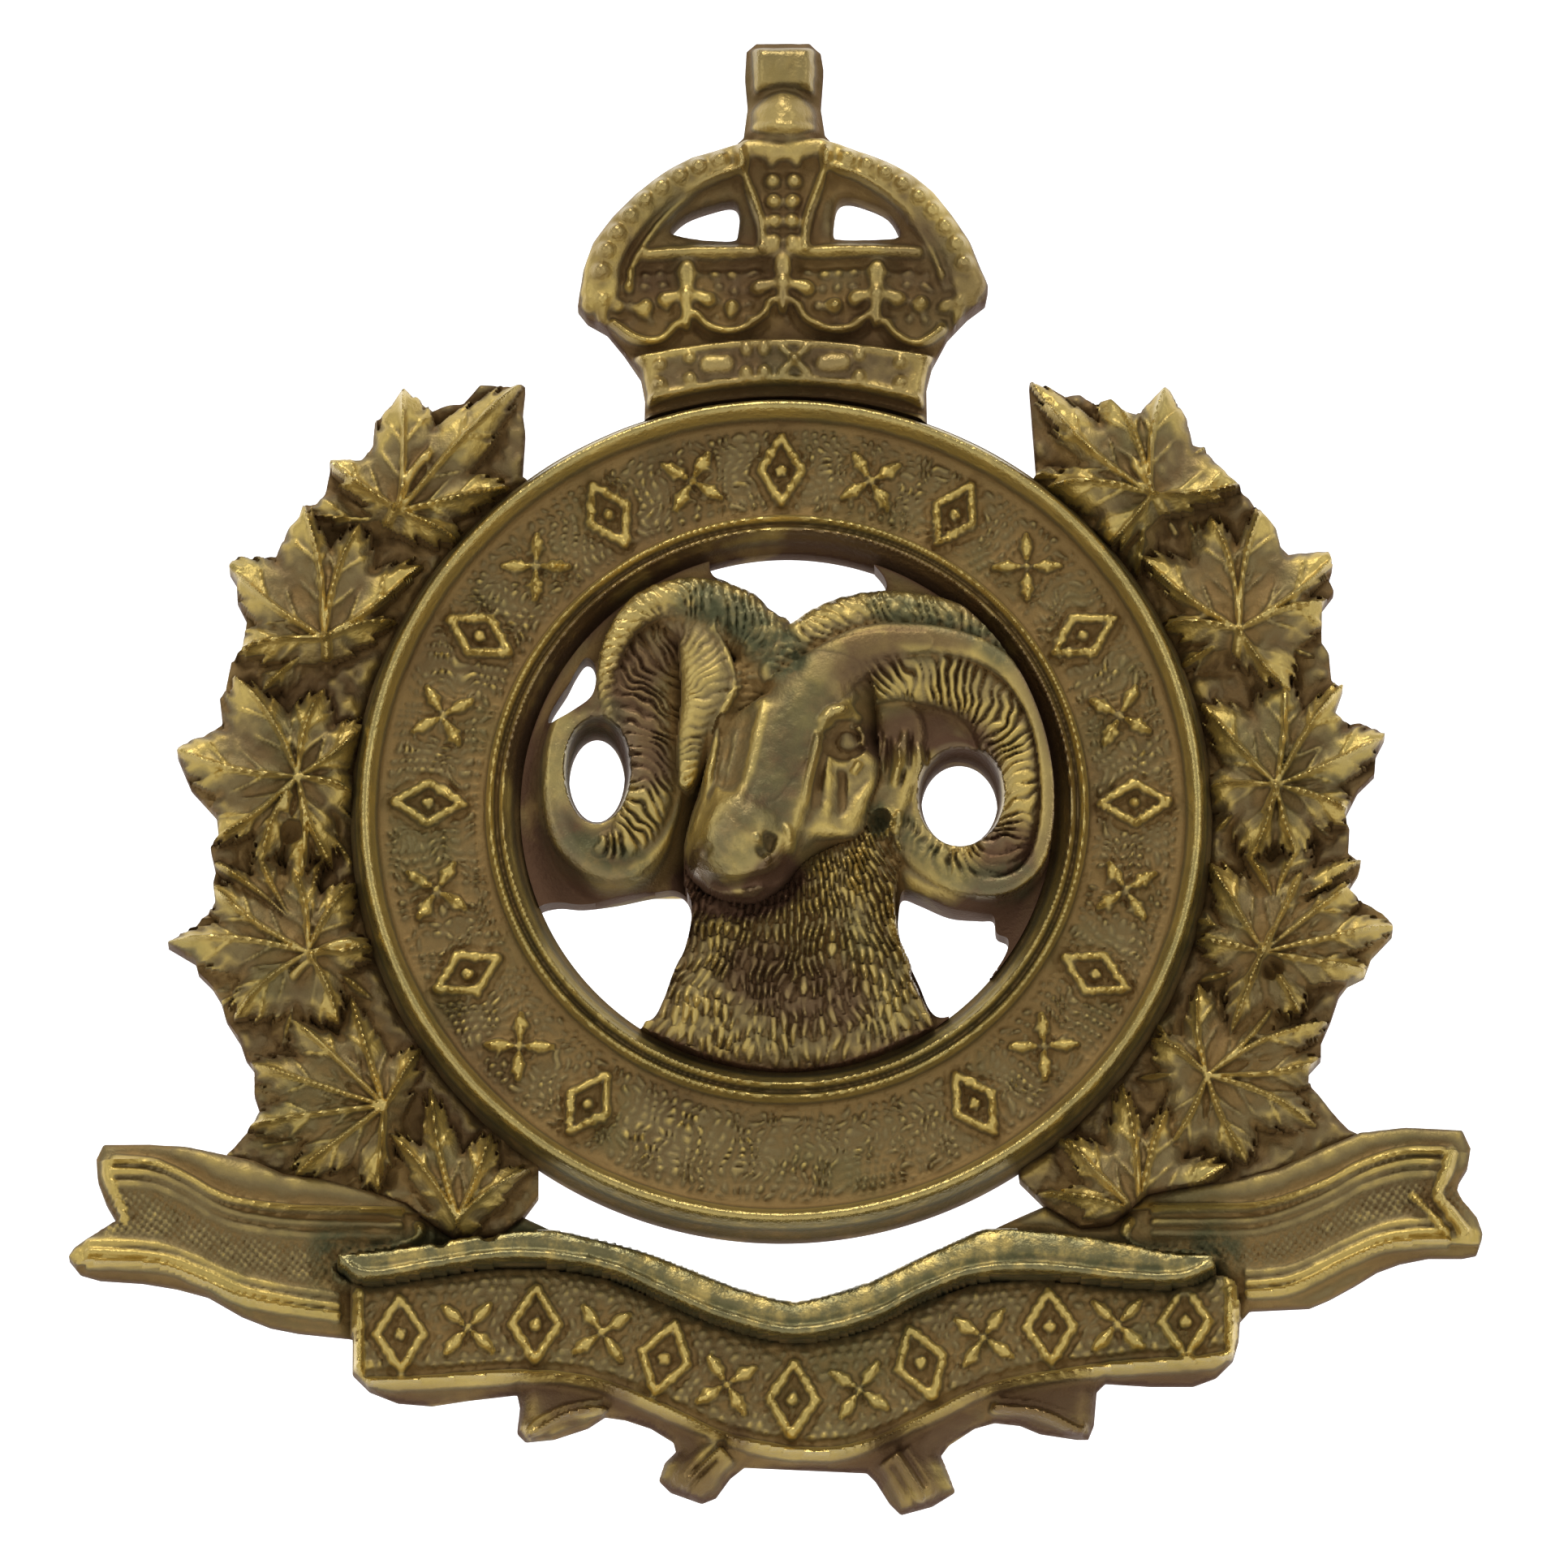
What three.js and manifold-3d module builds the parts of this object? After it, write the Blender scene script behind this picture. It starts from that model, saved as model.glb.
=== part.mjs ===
// Military cap badge: a die-struck brass plate with a crown, a pierced circlet holding a
// ram's head, a maple-leaf wreath and a folded scroll. Two copper wire loops are brazed to
// its back, and a folded split pin slides through both loops behind the cap's cloth.
//
// Millimetres. The badge is drawn as a relief: x to the viewer's right, y up the badge and
// z out of its face, with z = 0 on the plane of its back. The last lines turn the relief
// upright, so that the face looks along -Y and the crown points along +Z.
import * as THREE from 'three';
import { mergeVertices } from 'three/addons/utils/BufferGeometryUtils.js';
import Module from 'manifold-3d';

const wasm = await Module();
wasm.setup();

// ---- driving dimensions ----
const SHEET = 1.0;            // thickness of the struck metal
const VOID_RADIUS = 9.4;      // pierced centre of the circlet
const FIELD_INNER = 10.9;     // stippled field of the circlet, between its two beads
const FIELD_OUTER = 14.2;
const CIRCLET_RADIUS = 15.2;
const FIELD_HEIGHT = 1.3;
const BEAD_HEIGHT = 2.2;
const WREATH_HEIGHT = 1.2;
const LEAF_HEIGHT = 1.9;
const SCROLL_HEIGHT = 1.3;
const RIBBON_HEIGHT = 2.4;    // the ribbon's middle stands over its folded ends
const CROWN_HEIGHT = 1.5;
const ARCH_HEIGHT = 2.6;
const HORN_HEIGHT = 3.4;
const FACE_HEIGHT = 5.4;
const NECK_HEIGHT = 2.6;

const WIRE_RADIUS = 0.8;      // copper wire of the lugs
const LUG_X = 12.5;           // each lug's plane, left and right of the centre
const FITTINGS_Y = -0.45;     // the lugs and the pin sit a little below the centre
const FOOT_Y = 3.0;           // the lug's feet, above and below that line
const LUG_REACH = 8.2;        // how far a lug stands off the back
const FIT_GAP = 0.1;          // room left between pieces that touch
const BRAZE_RADIUS = 1.7;
const BRAZE_HEIGHT = 1.1;

const PIN_RADIUS = 0.85;      // the two half-round legs together
const PIN_DEPTH = 5.4;        // the pin's axis, behind the back
const PIN_TIP = 19.0;
const PIN_EYE_CENTRE = -17.3;
const PIN_EYE_RADIUS = 1.7;   // to the middle of the wire

// ---- solids ----
function solidOf(geometry) {
  const bare = geometry.clone();
  bare.deleteAttribute('normal');
  bare.deleteAttribute('uv');
  const merged = mergeVertices(bare, 1e-4);
  return new wasm.Manifold(new wasm.Mesh({
    numProp: 3,
    vertProperties: merged.attributes.position.array,
    triVerts: Uint32Array.from(merged.index.array),
  }));
}

function geometryOf(solid) {
  const mesh = solid.getMesh();
  const geometry = new THREE.BufferGeometry();
  geometry.setAttribute('position', new THREE.Float32BufferAttribute(mesh.vertProperties, 3));
  geometry.setIndex(Array.from(mesh.triVerts));
  geometry.computeVertexNormals();
  return geometry;
}

const join = (solids) => solids.reduce((sum, solid) => sum.add(solid));

const shapeOf = (points) => new THREE.Shape(points.map(([x, y]) => new THREE.Vector2(x, y)));

// Points along a smooth line through the given ones.
function smooth(points, steps) {
  const line = new THREE.SplineCurve(points.map(([x, y]) => new THREE.Vector2(x, y)));
  return line.getPoints(steps).map((p) => [p.x, p.y]);
}

// Points on an arc about the badge's centre, angles in degrees.
function arc(radius, from, to, steps = 24) {
  return Array.from({ length: steps + 1 }, (_, i) => {
    const angle = THREE.MathUtils.degToRad(from + ((to - from) * i) / steps);
    return [radius * Math.cos(angle), radius * Math.sin(angle)];
  });
}

function slab(points, bottom, top, bevel = 0) {
  const geometry = new THREE.ExtrudeGeometry(shapeOf(points), {
    depth: top - bottom - bevel,
    bevelEnabled: bevel > 0,
    bevelThickness: bevel,
    bevelSize: bevel,
    bevelOffset: -bevel,
    bevelSegments: 1,
    curveSegments: 12,
  });
  geometry.translate(0, 0, bottom);
  return solidOf(geometry);
}

// The outline drawn in towards its own middle, for the hollow behind a raised part.
function shrunk(points, share) {
  const middle = points.reduce((s, [x, y]) => [s[0] + x, s[1] + y], [0, 0]);
  const [mx, my] = middle.map((v) => v / points.length);
  return points.map(([x, y]) => [mx + (x - mx) * share, my + (y - my) * share]);
}

// A raised part of the stamping, and the hollow that the die leaves behind it.
function pressed(points, height, hollowShare, bevel = 0.3) {
  return {
    body: slab(points, 0, height, bevel),
    hollow: slab(shrunk(points, hollowShare), -SHEET, height - SHEET),
  };
}

// ---- the plate's outlines ----
// Serrated outer edges of the wreath, from the top leaf down to the scroll.
const WREATH_LEFT = [
  [-9.2, 12.6], [-9.1, 15.9], [-10.7, 15.9], [-11.3, 15.3], [-12.4, 15.0], [-13.4, 15.7],
  [-14.4, 14.6], [-14.5, 13.6], [-14.9, 13.0], [-16.0, 13.0], [-16.5, 11.6], [-17.0, 11.6],
  [-17.5, 10.6], [-17.9, 9.7], [-19.4, 9.6], [-19.6, 9.2], [-18.9, 7.4], [-19.1, 6.1],
  [-19.7, 5.4], [-19.8, 3.6], [-21.4, 2.7], [-20.9, 1.3], [-20.0, 0.3], [-20.2, -0.9],
  [-20.0, -3.0], [-21.7, -4.4], [-20.7, -5.0], [-19.8, -6.4], [-19.1, -7.9], [-18.5, -9.3],
  [-18.5, -10.8], [-19.6, -12.1],
];
const WREATH_RIGHT = [
  [9.0, 12.6], [8.8, 16.0], [9.5, 15.9], [11.7, 15.2], [12.4, 14.7], [13.6, 15.7],
  [14.4, 14.6], [14.6, 13.6], [15.0, 13.6], [16.6, 11.8], [17.5, 10.6], [18.0, 9.7],
  [19.4, 9.8], [19.6, 8.4], [19.1, 7.2], [19.4, 6.1], [19.9, 4.9], [19.6, 3.7],
  [21.4, 3.2], [21.0, 1.8], [19.9, 0.2], [20.1, -1.1], [20.5, -1.5], [20.0, -2.5],
  [21.6, -3.9], [20.8, -5.2], [19.7, -6.2], [19.1, -7.9], [18.6, -9.2], [20.4, -11.3],
];
// The scroll's edge: its swallow-tailed ends, the stepped folds and the stalks below it.
const SCROLL_LEFT_END = [
  [-19.6, -12.1], [-21.5, -11.7], [-23.9, -11.7], [-24.2, -12.5], [-23.4, -14.4],
  [-24.9, -15.4], [-25.1, -15.9], [-24.3, -16.5], [-21.3, -16.9], [-19.0, -17.9],
  [-17.0, -18.5], [-15.1, -18.7], [-15.1, -20.0], [-14.2, -20.8], [-12.3, -21.1],
  [-9.3, -20.7],
];
const SCROLL_FOOT = [
  [-9.3, -22.3], [-8.0, -22.3], [-6.2, -21.5], [-4.6, -21.9], [-3.7, -22.8], [-4.3, -23.8],
  [-2.8, -24.6], [-2.3, -24.4], [-1.3, -23.3], [3.0, -23.5], [4.2, -25.0], [6.1, -24.2],
  [5.6, -22.9], [5.9, -22.5], [7.5, -21.7], [9.1, -22.1], [10.8, -22.3], [11.1, -20.6],
];
const SCROLL_RIGHT_END = [
  [11.4, -20.3], [14.5, -20.4], [15.9, -19.5], [16.2, -18.1], [16.5, -17.7], [18.6, -17.6],
  [21.0, -16.3], [22.8, -15.8], [24.0, -15.8], [24.7, -14.9], [23.8, -13.3], [24.3, -11.8],
  [23.9, -11.1], [22.0, -11.0], [20.4, -11.3],
];
const SCROLL_TOP = [
  [9.3, -13.8], [6.5, -15.0], [3.0, -16.7], [0.5, -17.4], [-1.5, -16.9], [-4.5, -15.7],
  [-7.5, -14.9], [-9.1, -14.2],
];
const RIBBON_TOP = [
  [15.0, -15.9], [12.0, -15.2], [8.5, -14.9], [5.0, -15.9], [0.6, -17.6], [-4.5, -15.9],
  [-8.5, -15.0], [-12.0, -15.3], [-15.6, -16.2],
];
const RIBBON_FOOT = [
  [-14.8, -20.2], [-12.3, -20.9], [-7.0, -20.6], [-1.8, -23.2], [3.5, -23.3], [8.0, -20.8],
  [12.0, -20.2], [15.7, -19.0],
];
const CROWN_EDGE = [
  [5.2, 14.2], [5.2, 15.9], [6.0, 17.8], [7.4, 19.1], [7.3, 20.0], [6.1, 22.0], [4.6, 23.5],
  [2.8, 24.3], [1.5, 25.1], [1.4, 26.0], [1.4, 27.7], [1.0, 28.2], [-0.9, 28.2],
  [-1.3, 27.6], [-1.2, 26.0], [-1.7, 24.6], [-3.2, 24.1], [-5.2, 22.7], [-6.7, 21.0],
  [-7.0, 20.0], [-7.2, 18.8], [-5.8, 17.5], [-4.9, 15.9], [-4.9, 14.2],
];
// Pierced openings in the crown, and round the ram's head.
const CROWN_VOIDS = [
  [[-3.8, 21.5], [-1.7, 22.5], [-1.5, 21.1], [-3.3, 21.1]],
  [[1.8, 21.3], [2.4, 22.6], [3.7, 22.0], [4.1, 21.1], [2.0, 21.1]],
];
const HEAD_VOIDS = [
  [[-2.5, 8.8], [-1.6, 9.7], [2.2, 9.6], [3.7, 8.3], [1.6, 7.5], [0.2, 6.9], [-0.6, 7.5]],
  [[-8.2, 3.3], [-7.6, 4.9], [-6.9, 5.6], [-6.6, 5.0], [-7.0, 3.9]],
  [[-8.2, -3.2], [-6.9, -3.2], [-3.9, -2.7], [-3.2, -3.6], [-3.8, -5.4], [-4.5, -7.3],
    [-5.1, -7.5], [-6.3, -6.8], [-7.8, -4.9]],
  [[4.2, -2.9], [6.0, -3.6], [7.9, -3.8], [8.0, -4.5], [6.8, -6.7], [5.6, -7.2],
    [4.9, -6.0], [4.1, -4.2]],
];
const CURL_HOLES = [
  { x: -6.5, y: 1.4, width: 1.0, height: 1.5 },
  { x: 6.2, y: 0.6, width: 1.3, height: 1.4 },
];
// The ram's horns, face and neck.
const HORN_RIGHT = [
  [0.2, 6.4], [2.2, 7.6], [5.0, 8.2], [7.6, 7.0], [9.2, 4.6], [9.7, 1.4], [9.0, -1.6],
  [7.4, -3.0], [5.4, -2.8], [3.8, -1.4], [3.0, 2.4], [1.2, 3.4],
];
const HORN_LEFT = [
  [0.0, 6.3], [-1.4, 7.7], [-3.0, 8.6], [-4.8, 8.8], [-6.2, 7.4], [-6.3, 4.0], [-8.0, 2.8],
  [-8.7, 0.4], [-7.6, -1.8], [-5.4, -2.4], [-3.7, -1.8], [-2.4, 4.0],
];
const FACE = [
  [-1.2, 6.0], [0.6, 5.4], [1.6, 3.2], [1.3, 0.4], [0.5, -1.7], [-0.8, -3.0], [-2.4, -3.0],
  [-3.5, -1.6], [-3.0, 1.2], [-2.0, 4.2],
];
const NECK = [
  [-3.1, -1.4], [-3.3, -4.0], [-5.0, -8.0], [-4.0, -10.0], [4.2, -10.0], [4.8, -7.4],
  [4.0, -4.2], [4.0, -2.4], [2.6, 1.6], [-1.0, 1.6],
];

// ---- parts of the plate ----
function circlet() {
  const profile = [
    [VOID_RADIUS, 0], [CIRCLET_RADIUS, 0], [CIRCLET_RADIUS, SHEET], [14.9, BEAD_HEIGHT - 0.1],
    [14.5, BEAD_HEIGHT], [FIELD_OUTER, FIELD_HEIGHT], [FIELD_INNER, FIELD_HEIGHT],
    [10.4, BEAD_HEIGHT - 0.2], [10.1, 1.9], [VOID_RADIUS, SHEET], [VOID_RADIUS, 0],
  ];
  const ring = new THREE.LatheGeometry(profile.map(([r, z]) => new THREE.Vector2(r, z)), 72);
  ring.rotateX(Math.PI / 2);
  return solidOf(ring);
}

// The thin metal that carries the head, pierced round the horns and neck.
function headWeb() {
  const web = slab(arc(VOID_RADIUS + 0.6, 0, 350, 35), 0, SHEET);
  return HEAD_VOIDS.reduce((left, edge) => left.subtract(slab(edge, -1, SHEET + 1)), web);
}

function curlHole({ x, y, width, height }) {
  const bore = new THREE.CylinderGeometry(1, 1, 4 * HORN_HEIGHT, 20);
  bore.rotateX(Math.PI / 2).scale(width, height, 1).translate(x, y, 0);
  return solidOf(bore);
}

// A five-pointed maple leaf, its stalk end at (x, y) and its tip along the given angle.
function mapleLeaf({ x, y, angle, size }) {
  const lobes = [
    [0, 1.0], [22, 0.55], [50, 0.95], [75, 0.5], [105, 0.75], [150, 0.3],
    [210, 0.3], [255, 0.75], [285, 0.5], [310, 0.95], [338, 0.55],
  ];
  const points = lobes.map(([turn, reach]) => {
    const a = THREE.MathUtils.degToRad(angle + turn);
    return [x + size * reach * Math.cos(a), y + size * reach * Math.sin(a)];
  });
  return slab(points, 0, LEAF_HEIGHT, 0.2);
}

const LEAVES = [
  { x: 13.2, y: 12.2, angle: 85, size: 3.0 },
  { x: 16.4, y: 7.8, angle: 62, size: 3.2 },
  { x: 17.4, y: 1.8, angle: 40, size: 3.6 },
  { x: 17.0, y: -4.6, angle: 15, size: 3.8 },
  { x: 15.2, y: -9.6, angle: -20, size: 3.4 },
  { x: 11.6, y: -12.4, angle: -110, size: 1.7 },
];

function wreath(side, edge) {
  const down = side < 0 ? [[-16.0, -15.0], [-9.4, -14.8], [-8.3, -13.1]]
    : [[16.0, -14.0], [9.4, -14.2], [8.4, -12.9]];
  const inner = side < 0 ? arc(13.0, 238, 130) : arc(13.0, -58, 50);
  const leaves = LEAVES.map((leaf) => mapleLeaf({
    ...leaf,
    x: side * leaf.x,
    angle: side < 0 ? 180 - leaf.angle : leaf.angle,
  }));
  return join([slab([...edge, ...down, ...inner], 0, WREATH_HEIGHT), ...leaves]);
}

function scroll() {
  const rightTop = [[17.0, -12.6], [12.0, -13.4]];
  const leftTop = [[-12.0, -13.8], [-17.0, -13.0]];
  const edge = [
    ...smooth(SCROLL_LEFT_END, 40), ...SCROLL_FOOT, ...smooth(SCROLL_RIGHT_END, 36),
    ...rightTop, ...smooth(SCROLL_TOP, 20), ...leftTop,
  ];
  const ribbon = [...smooth(RIBBON_FOOT, 24), ...smooth(RIBBON_TOP, 24)];
  const channel = [
    ...smooth([[-12.5, -19.6], [-7.0, -19.4], [0.6, -22.0], [7.0, -19.8], [13.5, -18.8]], 16),
    ...smooth([[13.0, -17.4], [8.5, -16.8], [0.6, -19.2], [-8.5, -16.6], [-12.5, -17.2]], 16),
  ];
  return {
    body: slab(edge, 0, SCROLL_HEIGHT, 0.2).add(slab(ribbon, 0, RIBBON_HEIGHT, 0.3)),
    hollow: slab(channel, -SHEET, RIBBON_HEIGHT - SHEET),
  };
}

function crown() {
  const sideArch = (side) => {
    const outer = smooth([[0.5, 25.0], [3.2, 24.0], [6.2, 21.6], [7.1, 19.4]], 12);
    const inner = smooth([[5.6, 19.0], [4.7, 21.4], [2.8, 22.9], [0.5, 23.4]], 12);
    return [...outer, ...inner].map(([x, y]) => [side * x, y]);
  };
  const band = [
    ...smooth([[-4.8, 15.0], [0, 15.6], [4.9, 15.0]], 12),
    ...smooth([[5.2, 16.6], [0, 17.4], [-5.2, 16.6]], 12),
  ];
  const centreArch = [[-1.2, 20.0], [1.2, 20.0], [1.9, 24.2], [1.0, 26.2], [-0.9, 26.2],
    [-1.7, 24.2]];
  const cross = [[-1.3, 26.4], [1.4, 26.4], [1.4, 27.8], [1.0, 28.2], [-0.9, 28.2],
    [-1.3, 27.8]];
  const edge = [...CROWN_EDGE, ...arc(14.0, 110, 70, 8)];
  const raised = [
    slab(sideArch(-1), 0, ARCH_HEIGHT, 0.3), slab(sideArch(1), 0, ARCH_HEIGHT, 0.3),
    slab(band, 0, ARCH_HEIGHT, 0.2), slab(centreArch, 0, ARCH_HEIGHT + 0.4, 0.3),
    slab(cross, 0, ARCH_HEIGHT, 0.3),
  ];
  const whole = join([slab(edge, 0, CROWN_HEIGHT), ...raised]);
  return {
    body: CROWN_VOIDS.reduce((left, gap) => left.subtract(slab(gap, -1, 4)), whole),
    hollow: slab(shrunk(band, 0.8), -SHEET, ARCH_HEIGHT - SHEET),
  };
}

// The whole stamping. Its back is cut flat at z = 0, apart from the hollows.
function badgePlate() {
  const horns = [HORN_LEFT, HORN_RIGHT].map((edge) => pressed(edge, HORN_HEIGHT, 0.55));
  const face = pressed(FACE, FACE_HEIGHT, 0.6, 0.8);
  const neck = pressed(NECK, NECK_HEIGHT, 0.6);
  const raised = [...horns, face, neck, scroll(), crown()];
  const front = join([
    circlet(), headWeb(), wreath(-1, WREATH_LEFT), wreath(1, WREATH_RIGHT),
    ...raised.map((part) => part.body),
  ]);
  const hollows = join(raised.map((part) => part.hollow));
  const curls = join(CURL_HOLES.map(curlHole));
  const behind = new THREE.BoxGeometry(80, 80, FACE_HEIGHT).translate(0, 0, -FACE_HEIGHT / 2);
  return front.subtract(solidOf(behind)).subtract(hollows).subtract(curls);
}

// ---- fittings on the back ----
// A planar wire: a round bar bent along the given curve.
function wire(curve, section, steps) {
  return new THREE.ExtrudeGeometry(section, { steps, extrudePath: curve, curveSegments: 5 });
}

function lugCurve(x) {
  const path = new THREE.CurvePath();
  const shoulder = -(LUG_REACH - WIRE_RADIUS - FOOT_Y);
  const at = (y, z) => new THREE.Vector3(x, y + FITTINGS_Y, z);
  const bend = Array.from({ length: 13 }, (_, i) => {
    const a = (Math.PI * i) / 12;
    return at(-FOOT_Y * Math.cos(a), shoulder - FOOT_Y * Math.sin(a));
  });
  path.add(new THREE.LineCurve3(at(-FOOT_Y, -FIT_GAP), at(-FOOT_Y, shoulder)));
  for (let i = 0; i < 12; i += 1) path.add(new THREE.LineCurve3(bend[i], bend[i + 1]));
  path.add(new THREE.LineCurve3(at(FOOT_Y, shoulder), at(FOOT_Y, -FIT_GAP)));
  return path;
}

function lug(x) {
  const section = new THREE.Shape().absarc(0, 0, WIRE_RADIUS, 0, 2 * Math.PI);
  return wire(lugCurve(x), section, 28);
}

// A fillet of braze round one foot of a lug, standing on the plate's back.
function braze(x, y) {
  const profile = [
    [WIRE_RADIUS + FIT_GAP, 0], [BRAZE_RADIUS, 0], [BRAZE_RADIUS - 0.2, 0.35],
    [WIRE_RADIUS + 0.35, 0.7], [WIRE_RADIUS + FIT_GAP, BRAZE_HEIGHT],
    [WIRE_RADIUS + FIT_GAP, 0],
  ];
  const ring = new THREE.LatheGeometry(profile.map(([r, z]) => new THREE.Vector2(r, z)), 24);
  ring.rotateX(-Math.PI / 2).translate(x, y + FITTINGS_Y, -FIT_GAP);
  return ring;
}

// Half-round wire folded back on itself: a round eye, then two legs lying flat together.
function splitPin() {
  const legY = PIN_RADIUS / 2 + FIT_GAP / 2;
  const upperHalf = [
    [PIN_TIP, legY], [PIN_TIP / 2, legY], [0, legY], [-LUG_X / 2, legY], [-LUG_X, legY],
    [PIN_EYE_CENTRE + 1.9 * PIN_EYE_RADIUS, legY],
    [PIN_EYE_CENTRE + PIN_EYE_RADIUS, 0.65 * PIN_EYE_RADIUS],
    [PIN_EYE_CENTRE, PIN_EYE_RADIUS],
    [PIN_EYE_CENTRE - 0.75 * PIN_EYE_RADIUS, 0.67 * PIN_EYE_RADIUS],
  ];
  const bend = [PIN_EYE_CENTRE - PIN_EYE_RADIUS, 0];
  const lowerHalf = upperHalf.map(([x, y]) => [x, -y]).reverse();
  const path = new THREE.CatmullRomCurve3(
    [...upperHalf, bend, ...lowerHalf].map(
      ([x, y]) => new THREE.Vector3(x, y + FITTINGS_Y, -PIN_DEPTH),
    ),
  );
  const section = new THREE.Shape().absarc(0, PIN_RADIUS / 2, PIN_RADIUS, Math.PI, 2 * Math.PI);
  return wire(path, section, 60);
}

// ---- materials and assembly ----
const brass = new THREE.MeshStandardMaterial({ color: 0x8a6f38, roughness: 0.38, metalness: 1 });
const copper = new THREE.MeshStandardMaterial({ color: 0x7d4f33, roughness: 0.45, metalness: 1 });
const brazeMetal = new THREE.MeshStandardMaterial({ color: 0x8d8468, roughness: 0.5, metalness: 1 });
const pinBrass = new THREE.MeshStandardMaterial({ color: 0x9a7d43, roughness: 0.35, metalness: 1 });

const group = new THREE.Group();
group.name = 'cap_badge';

function addPiece(name, geometry, material) {
  const piece = new THREE.Mesh(geometry, material);
  piece.name = name;
  group.add(piece);
}

addPiece('badge_plate', geometryOf(badgePlate()), brass);
for (const [side, x] of [['left', -LUG_X], ['right', LUG_X]]) {
  addPiece(`lug_${side}`, lug(x), copper);
  addPiece(`lug_${side}_upper_braze`, braze(x, FOOT_Y), brazeMetal);
  addPiece(`lug_${side}_lower_braze`, braze(x, -FOOT_Y), brazeMetal);
}
addPiece('split_pin', splitPin(), pinBrass);

// Stand the relief upright: x stays, the face turns to -Y and the crown to +Z.
group.rotation.x = Math.PI / 2;

export default group;
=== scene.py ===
import math

import bpy
import numpy as np
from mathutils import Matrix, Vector


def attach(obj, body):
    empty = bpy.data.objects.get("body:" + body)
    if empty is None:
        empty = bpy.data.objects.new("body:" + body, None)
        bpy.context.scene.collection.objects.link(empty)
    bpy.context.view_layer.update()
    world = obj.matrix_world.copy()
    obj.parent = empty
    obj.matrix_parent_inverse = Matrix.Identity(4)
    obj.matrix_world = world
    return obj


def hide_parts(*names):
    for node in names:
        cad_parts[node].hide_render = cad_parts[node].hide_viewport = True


# ---------------------------------------------------------------- relief toolkit
MM = 0.001
CIRCLET_RADIUS = 15.25
VOID_RADIUS = 9.4
SHEET_THICKNESS = 1.0
THINNEST_FRONT = 0.25     # the lowest that the front may lie over the back plane
THINNEST_WALL = 0.2
BACK_BLOCK = 4            # the hollow back's faces are this many grid cells wide


def smooth(points, steps=6, closed=False):
    """A Catmull-Rom line through the given points."""
    p = np.asarray(points, float)
    if closed:
        p = np.vstack([p[-1:], p, p[:2]])
    else:
        p = np.vstack([2 * p[:1] - p[1:2], p, 2 * p[-1:] - p[-2:-1]])
    t = np.linspace(0, 1, steps, endpoint=False)[:, None]
    runs = [
        0.5 * (2 * b + (c - a) * t + (2 * a - 5 * b + 4 * c - d) * t**2
               + (3 * b - a - 3 * c + d) * t**3)
        for a, b, c, d in zip(p, p[1:], p[2:], p[3:])
    ]
    return np.vstack(runs if closed else runs + [p[-2:-1]])


def arc(radius, start, end, steps=48, centre=(0.0, 0.0)):
    """Points on an arc, angles in degrees."""
    a = np.radians(np.linspace(start, end, steps))
    return np.column_stack([centre[0] + radius * np.cos(a), centre[1] + radius * np.sin(a)])


def spaced(line, count):
    """Points spaced evenly along a line, and how steeply it climbs at each."""
    run = np.concatenate([[0], np.cumsum(np.hypot(*np.diff(line, axis=0).T))])
    place = np.linspace(0, run[-1], count)
    spots = np.column_stack([np.interp(place, run, line[:, k]) for k in (0, 1)])
    ahead, behind = (np.interp(place + d, run, line[:, 1]) for d in (0.5, -0.5))
    return spots, ahead - behind


def nearest(line, x, y, closed=False):
    """Distance to a line, the place along it from 0 to 1, and the side (+1 is left)."""
    p = np.asarray(line, float)
    if closed:
        p = np.vstack([p, p[:1]])
    run = np.diff(p, axis=0)
    length = np.maximum(np.hypot(run[:, 0], run[:, 1]), 1e-9)
    start = np.concatenate([[0.0], np.cumsum(length)])
    best = np.full(x.shape, 1e9)
    place = np.zeros(x.shape)
    side = np.ones(x.shape)
    for (ax, ay), (dx, dy), size, before in zip(p, run, length, start):
        t = np.clip(((x - ax) * dx + (y - ay) * dy) / size**2, 0, 1)
        gap = (x - ax - t * dx) ** 2 + (y - ay - t * dy) ** 2
        closer = gap < best
        best[closer] = gap[closer]
        place[closer] = (before + t * size)[closer]
        side[closer] = np.sign(dx * (y - ay) - dy * (x - ax))[closer]
    return np.sqrt(best), place / start[-1], side


def inside(outline, x, y):
    """Whether each sample lies in a closed outline, by counting crossed edges."""
    p = np.asarray(outline, float)
    hit = np.zeros(x.shape, bool)
    for (ax, ay), (bx, by) in zip(p, np.roll(p, -1, axis=0)):
        if ay != by:
            hit ^= ((ay > y) != (by > y)) & (x < (bx - ax) * (y - ay) / (by - ay) + ax)
    return hit


def depth_in(outline, x, y):
    """How far inside a closed outline each sample lies; negative outside."""
    gap = nearest(outline, x, y, closed=True)[0]
    return np.where(inside(outline, x, y), gap, -gap)


def step_up(value, low, high):
    """0 below low, 1 above high, and a smooth rise between."""
    t = np.clip((value - low) / (high - low), 0, 1)
    return t * t * (3 - 2 * t)


def crest(distance, width):
    """A rounded ridge's section: 1 on the line, 0 a width away."""
    return np.clip(1 - (distance / width) ** 2, 0, 1) ** 1.5


def soft_max(a, b, blend):
    """The higher of two heights, rounded where they meet."""
    return 0.5 * (a + b + np.sqrt((a - b) ** 2 + blend**2))


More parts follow.
